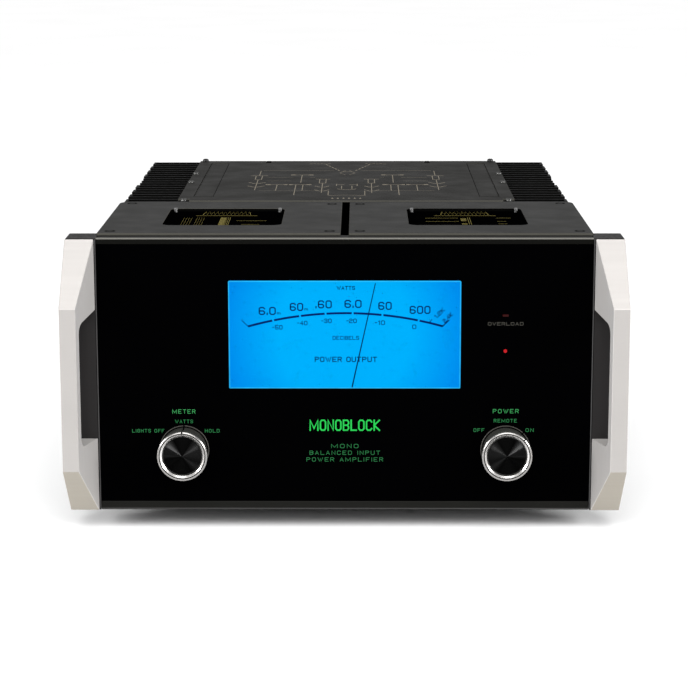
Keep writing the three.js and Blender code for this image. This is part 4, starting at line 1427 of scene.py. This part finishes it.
def add_chassis():
    refine("chassis_tray", "dark_steel", 0.8, 3)
    refine("chassis_deck", "satin_steel", 0.3)
    low, high = box_mm("chassis_tray")
    inset = 9
    rows = (low.y + inset, (low.y + high.y) / 2, high.y - inset)
    places = [(x, y, low.z) for x in (low.x + inset, 0, high.x - inset) for y in rows]
    head = screw_head(3.2, 1.8, 1.4)
    face_down = turned(180, "X")
    add_screws("tray_screws", head, places, "screw_black", "chassis_tray", face_down)


# ---- rear panel and sockets
INLET_FLOOR_Y = 492
XLR_FLOOR_Y = 495
LEGEND_RISE = 20  # how far a socket's name is above its middle


def add_rear_panel():
    low, high = box_mm("rear_panel")
    deck_z = box_mm("chassis_deck")[1].z
    refine("rear_panel", "rear_black", 0.3)
    columns = (-188, -120, -50, 50, 120, 188)
    places = [(x, high.y, z) for x in columns for z in (deck_z - 7, low.z + 6)]
    places += [(x, high.y, high.z - 7) for x in (-128, 0, 128)]
    head = screw_head(3.0, 1.8, 1.3)
    add_screws("rear_screws", head, places, "screw_black", "rear_panel", FACING_BACK)

    legend = Print((0, high.y - HAIR, 0), FACING_BACK)
    inlet, xlr, rca = (middle_mm(n) for n in ("mains_inlet", "xlr_input", "rca_input"))
    switch = middle_mm("input_switch_body")
    for words, x, z, width in (
        ("MAINS INPUT", inlet.x, inlet.z, 28),
        ("BALANCED", xlr.x, xlr.z, 21),
        ("LINE", rca.x, rca.z, 9),
        ("INPUT", switch.x, switch.z, 11),
        ("OUTPUT", middle_mm("terminal_block").x, inlet.z + 6, 18),
    ):
        legend.text(words, (-x, z + LEGEND_RISE), width, 2.6, 0.4)
    for i, words in enumerate(("COM", "2", "4", "8")):
        x = middle_mm("terminal_nut_%d" % (i + 1)).x
        width = 2.2 * len(words) + 1
        legend.text(words, (-x, inlet.z + LEGEND_RISE), width, 2.8, 0.4)
    legend.finish("rear_legend", "pale_ink", "rear_panel")


def add_sockets():
    refine("mains_inlet", "black_plastic", 0.5, 3)
    refine("xlr_input", "satin_steel", 0.4, 3)
    refine("rca_input", "gold_plate", 0.25)
    refine("input_switch_body", "polished_chrome", 0.2)
    refine("input_switch_lever", "polished_chrome", 0.1)
    refine("terminal_block", "black_plastic", 0.5)

    inlet = middle_mm("mains_inlet")
    back = box_mm("mains_inlet")[1].y
    pins = bmesh.new()
    for x, z in ((-7, -1.5), (7, -1.5), (0, 3)):
        low = (inlet.x + x - 1, INLET_FLOOR_Y, inlet.z + z - 2)
        high = (inlet.x + x + 1, back - 3, inlet.z + z + 2)
        add_copy(pins, block(low, high, 0.4))
    make_piece("mains_pins", pins, "screw_bright", "mains_inlet")

    xlr = middle_mm("xlr_input")
    contacts = bmesh.new()
    for angle in (30, 150, 270):
        x = xlr.x + 5 * math.cos(math.radians(angle))
        z = xlr.z + 5 * math.sin(math.radians(angle))
        ring = lathe([(1.1, 0), (1.1, 3), (1.9, 3), (1.9, 0)], 20)
        add_copy(contacts, ring, Matrix.Translation((x, XLR_FLOOR_Y, z)) @ FACING_BACK)
    make_piece("xlr_contacts", contacts, "gold_plate", "xlr_input")


def add_terminal_nut(node):
    """A fluted nut with a smooth band at each end."""
    low, high = box_mm(node)
    middle = (low + high) / 2
    length = high.y - low.y
    radius = (high.x - low.x) / 2
    neck = radius - 0.3
    profile = [
        (4.4, 0), (4.4, length), (radius - 1, length), (neck, length - 0.7),
        (neck, length - 2.2), (radius, length - 2.4), (radius, 2.4), (neck, 2.2),
        (neck, 0.5), (radius - 0.8, 0),
    ]

    def reach(index, r, angle):
        return r - 0.35 + 0.3 * math.cos(24 * angle) if index in (5, 6) else r

    nut = lathe(profile, 144, reach)
    nut.transform(Matrix.Translation((middle.x, low.y, middle.z)) @ FACING_BACK)
    make_piece(node + "_fine", nut, "gold_plate", node, [node])


# ---- electronics
def add_electronics():
    for node in ("output_board_left", "output_board_right", "power_supply_board", "input_board"):
        refine(node, "board_green", 0.2)
    for i in range(1, 5):
        refine("capacitor_%d" % i, "capacitor_sleeve", 0.5)
    dress("power_transformer", "core_laminations")
    dress("output_autoformer", "core_laminations")


make_metals()
make_coatings()
make_glass_and_inks()
add_camera()
add_studio()
add_floor()
add_front_panel()
add_front_lettering()
add_lamps()
add_meter()
add_knob("meter", 0)
add_knob("power", 45)
for side, sign in SIDES.items():
    add_transformer(side, sign)
add_top_cover()
for side, sign in SIDES.items():
    add_heat_sink("heatsink_" + side, sign)
add_chassis()
for row in ("front", "rear"):
    for side in SIDES:
        add_foot("foot_%s_%s" % (row, side))
add_rear_panel()
add_sockets()
for number in range(1, 5):
    add_terminal_nut("terminal_nut_%d" % number)
add_electronics()
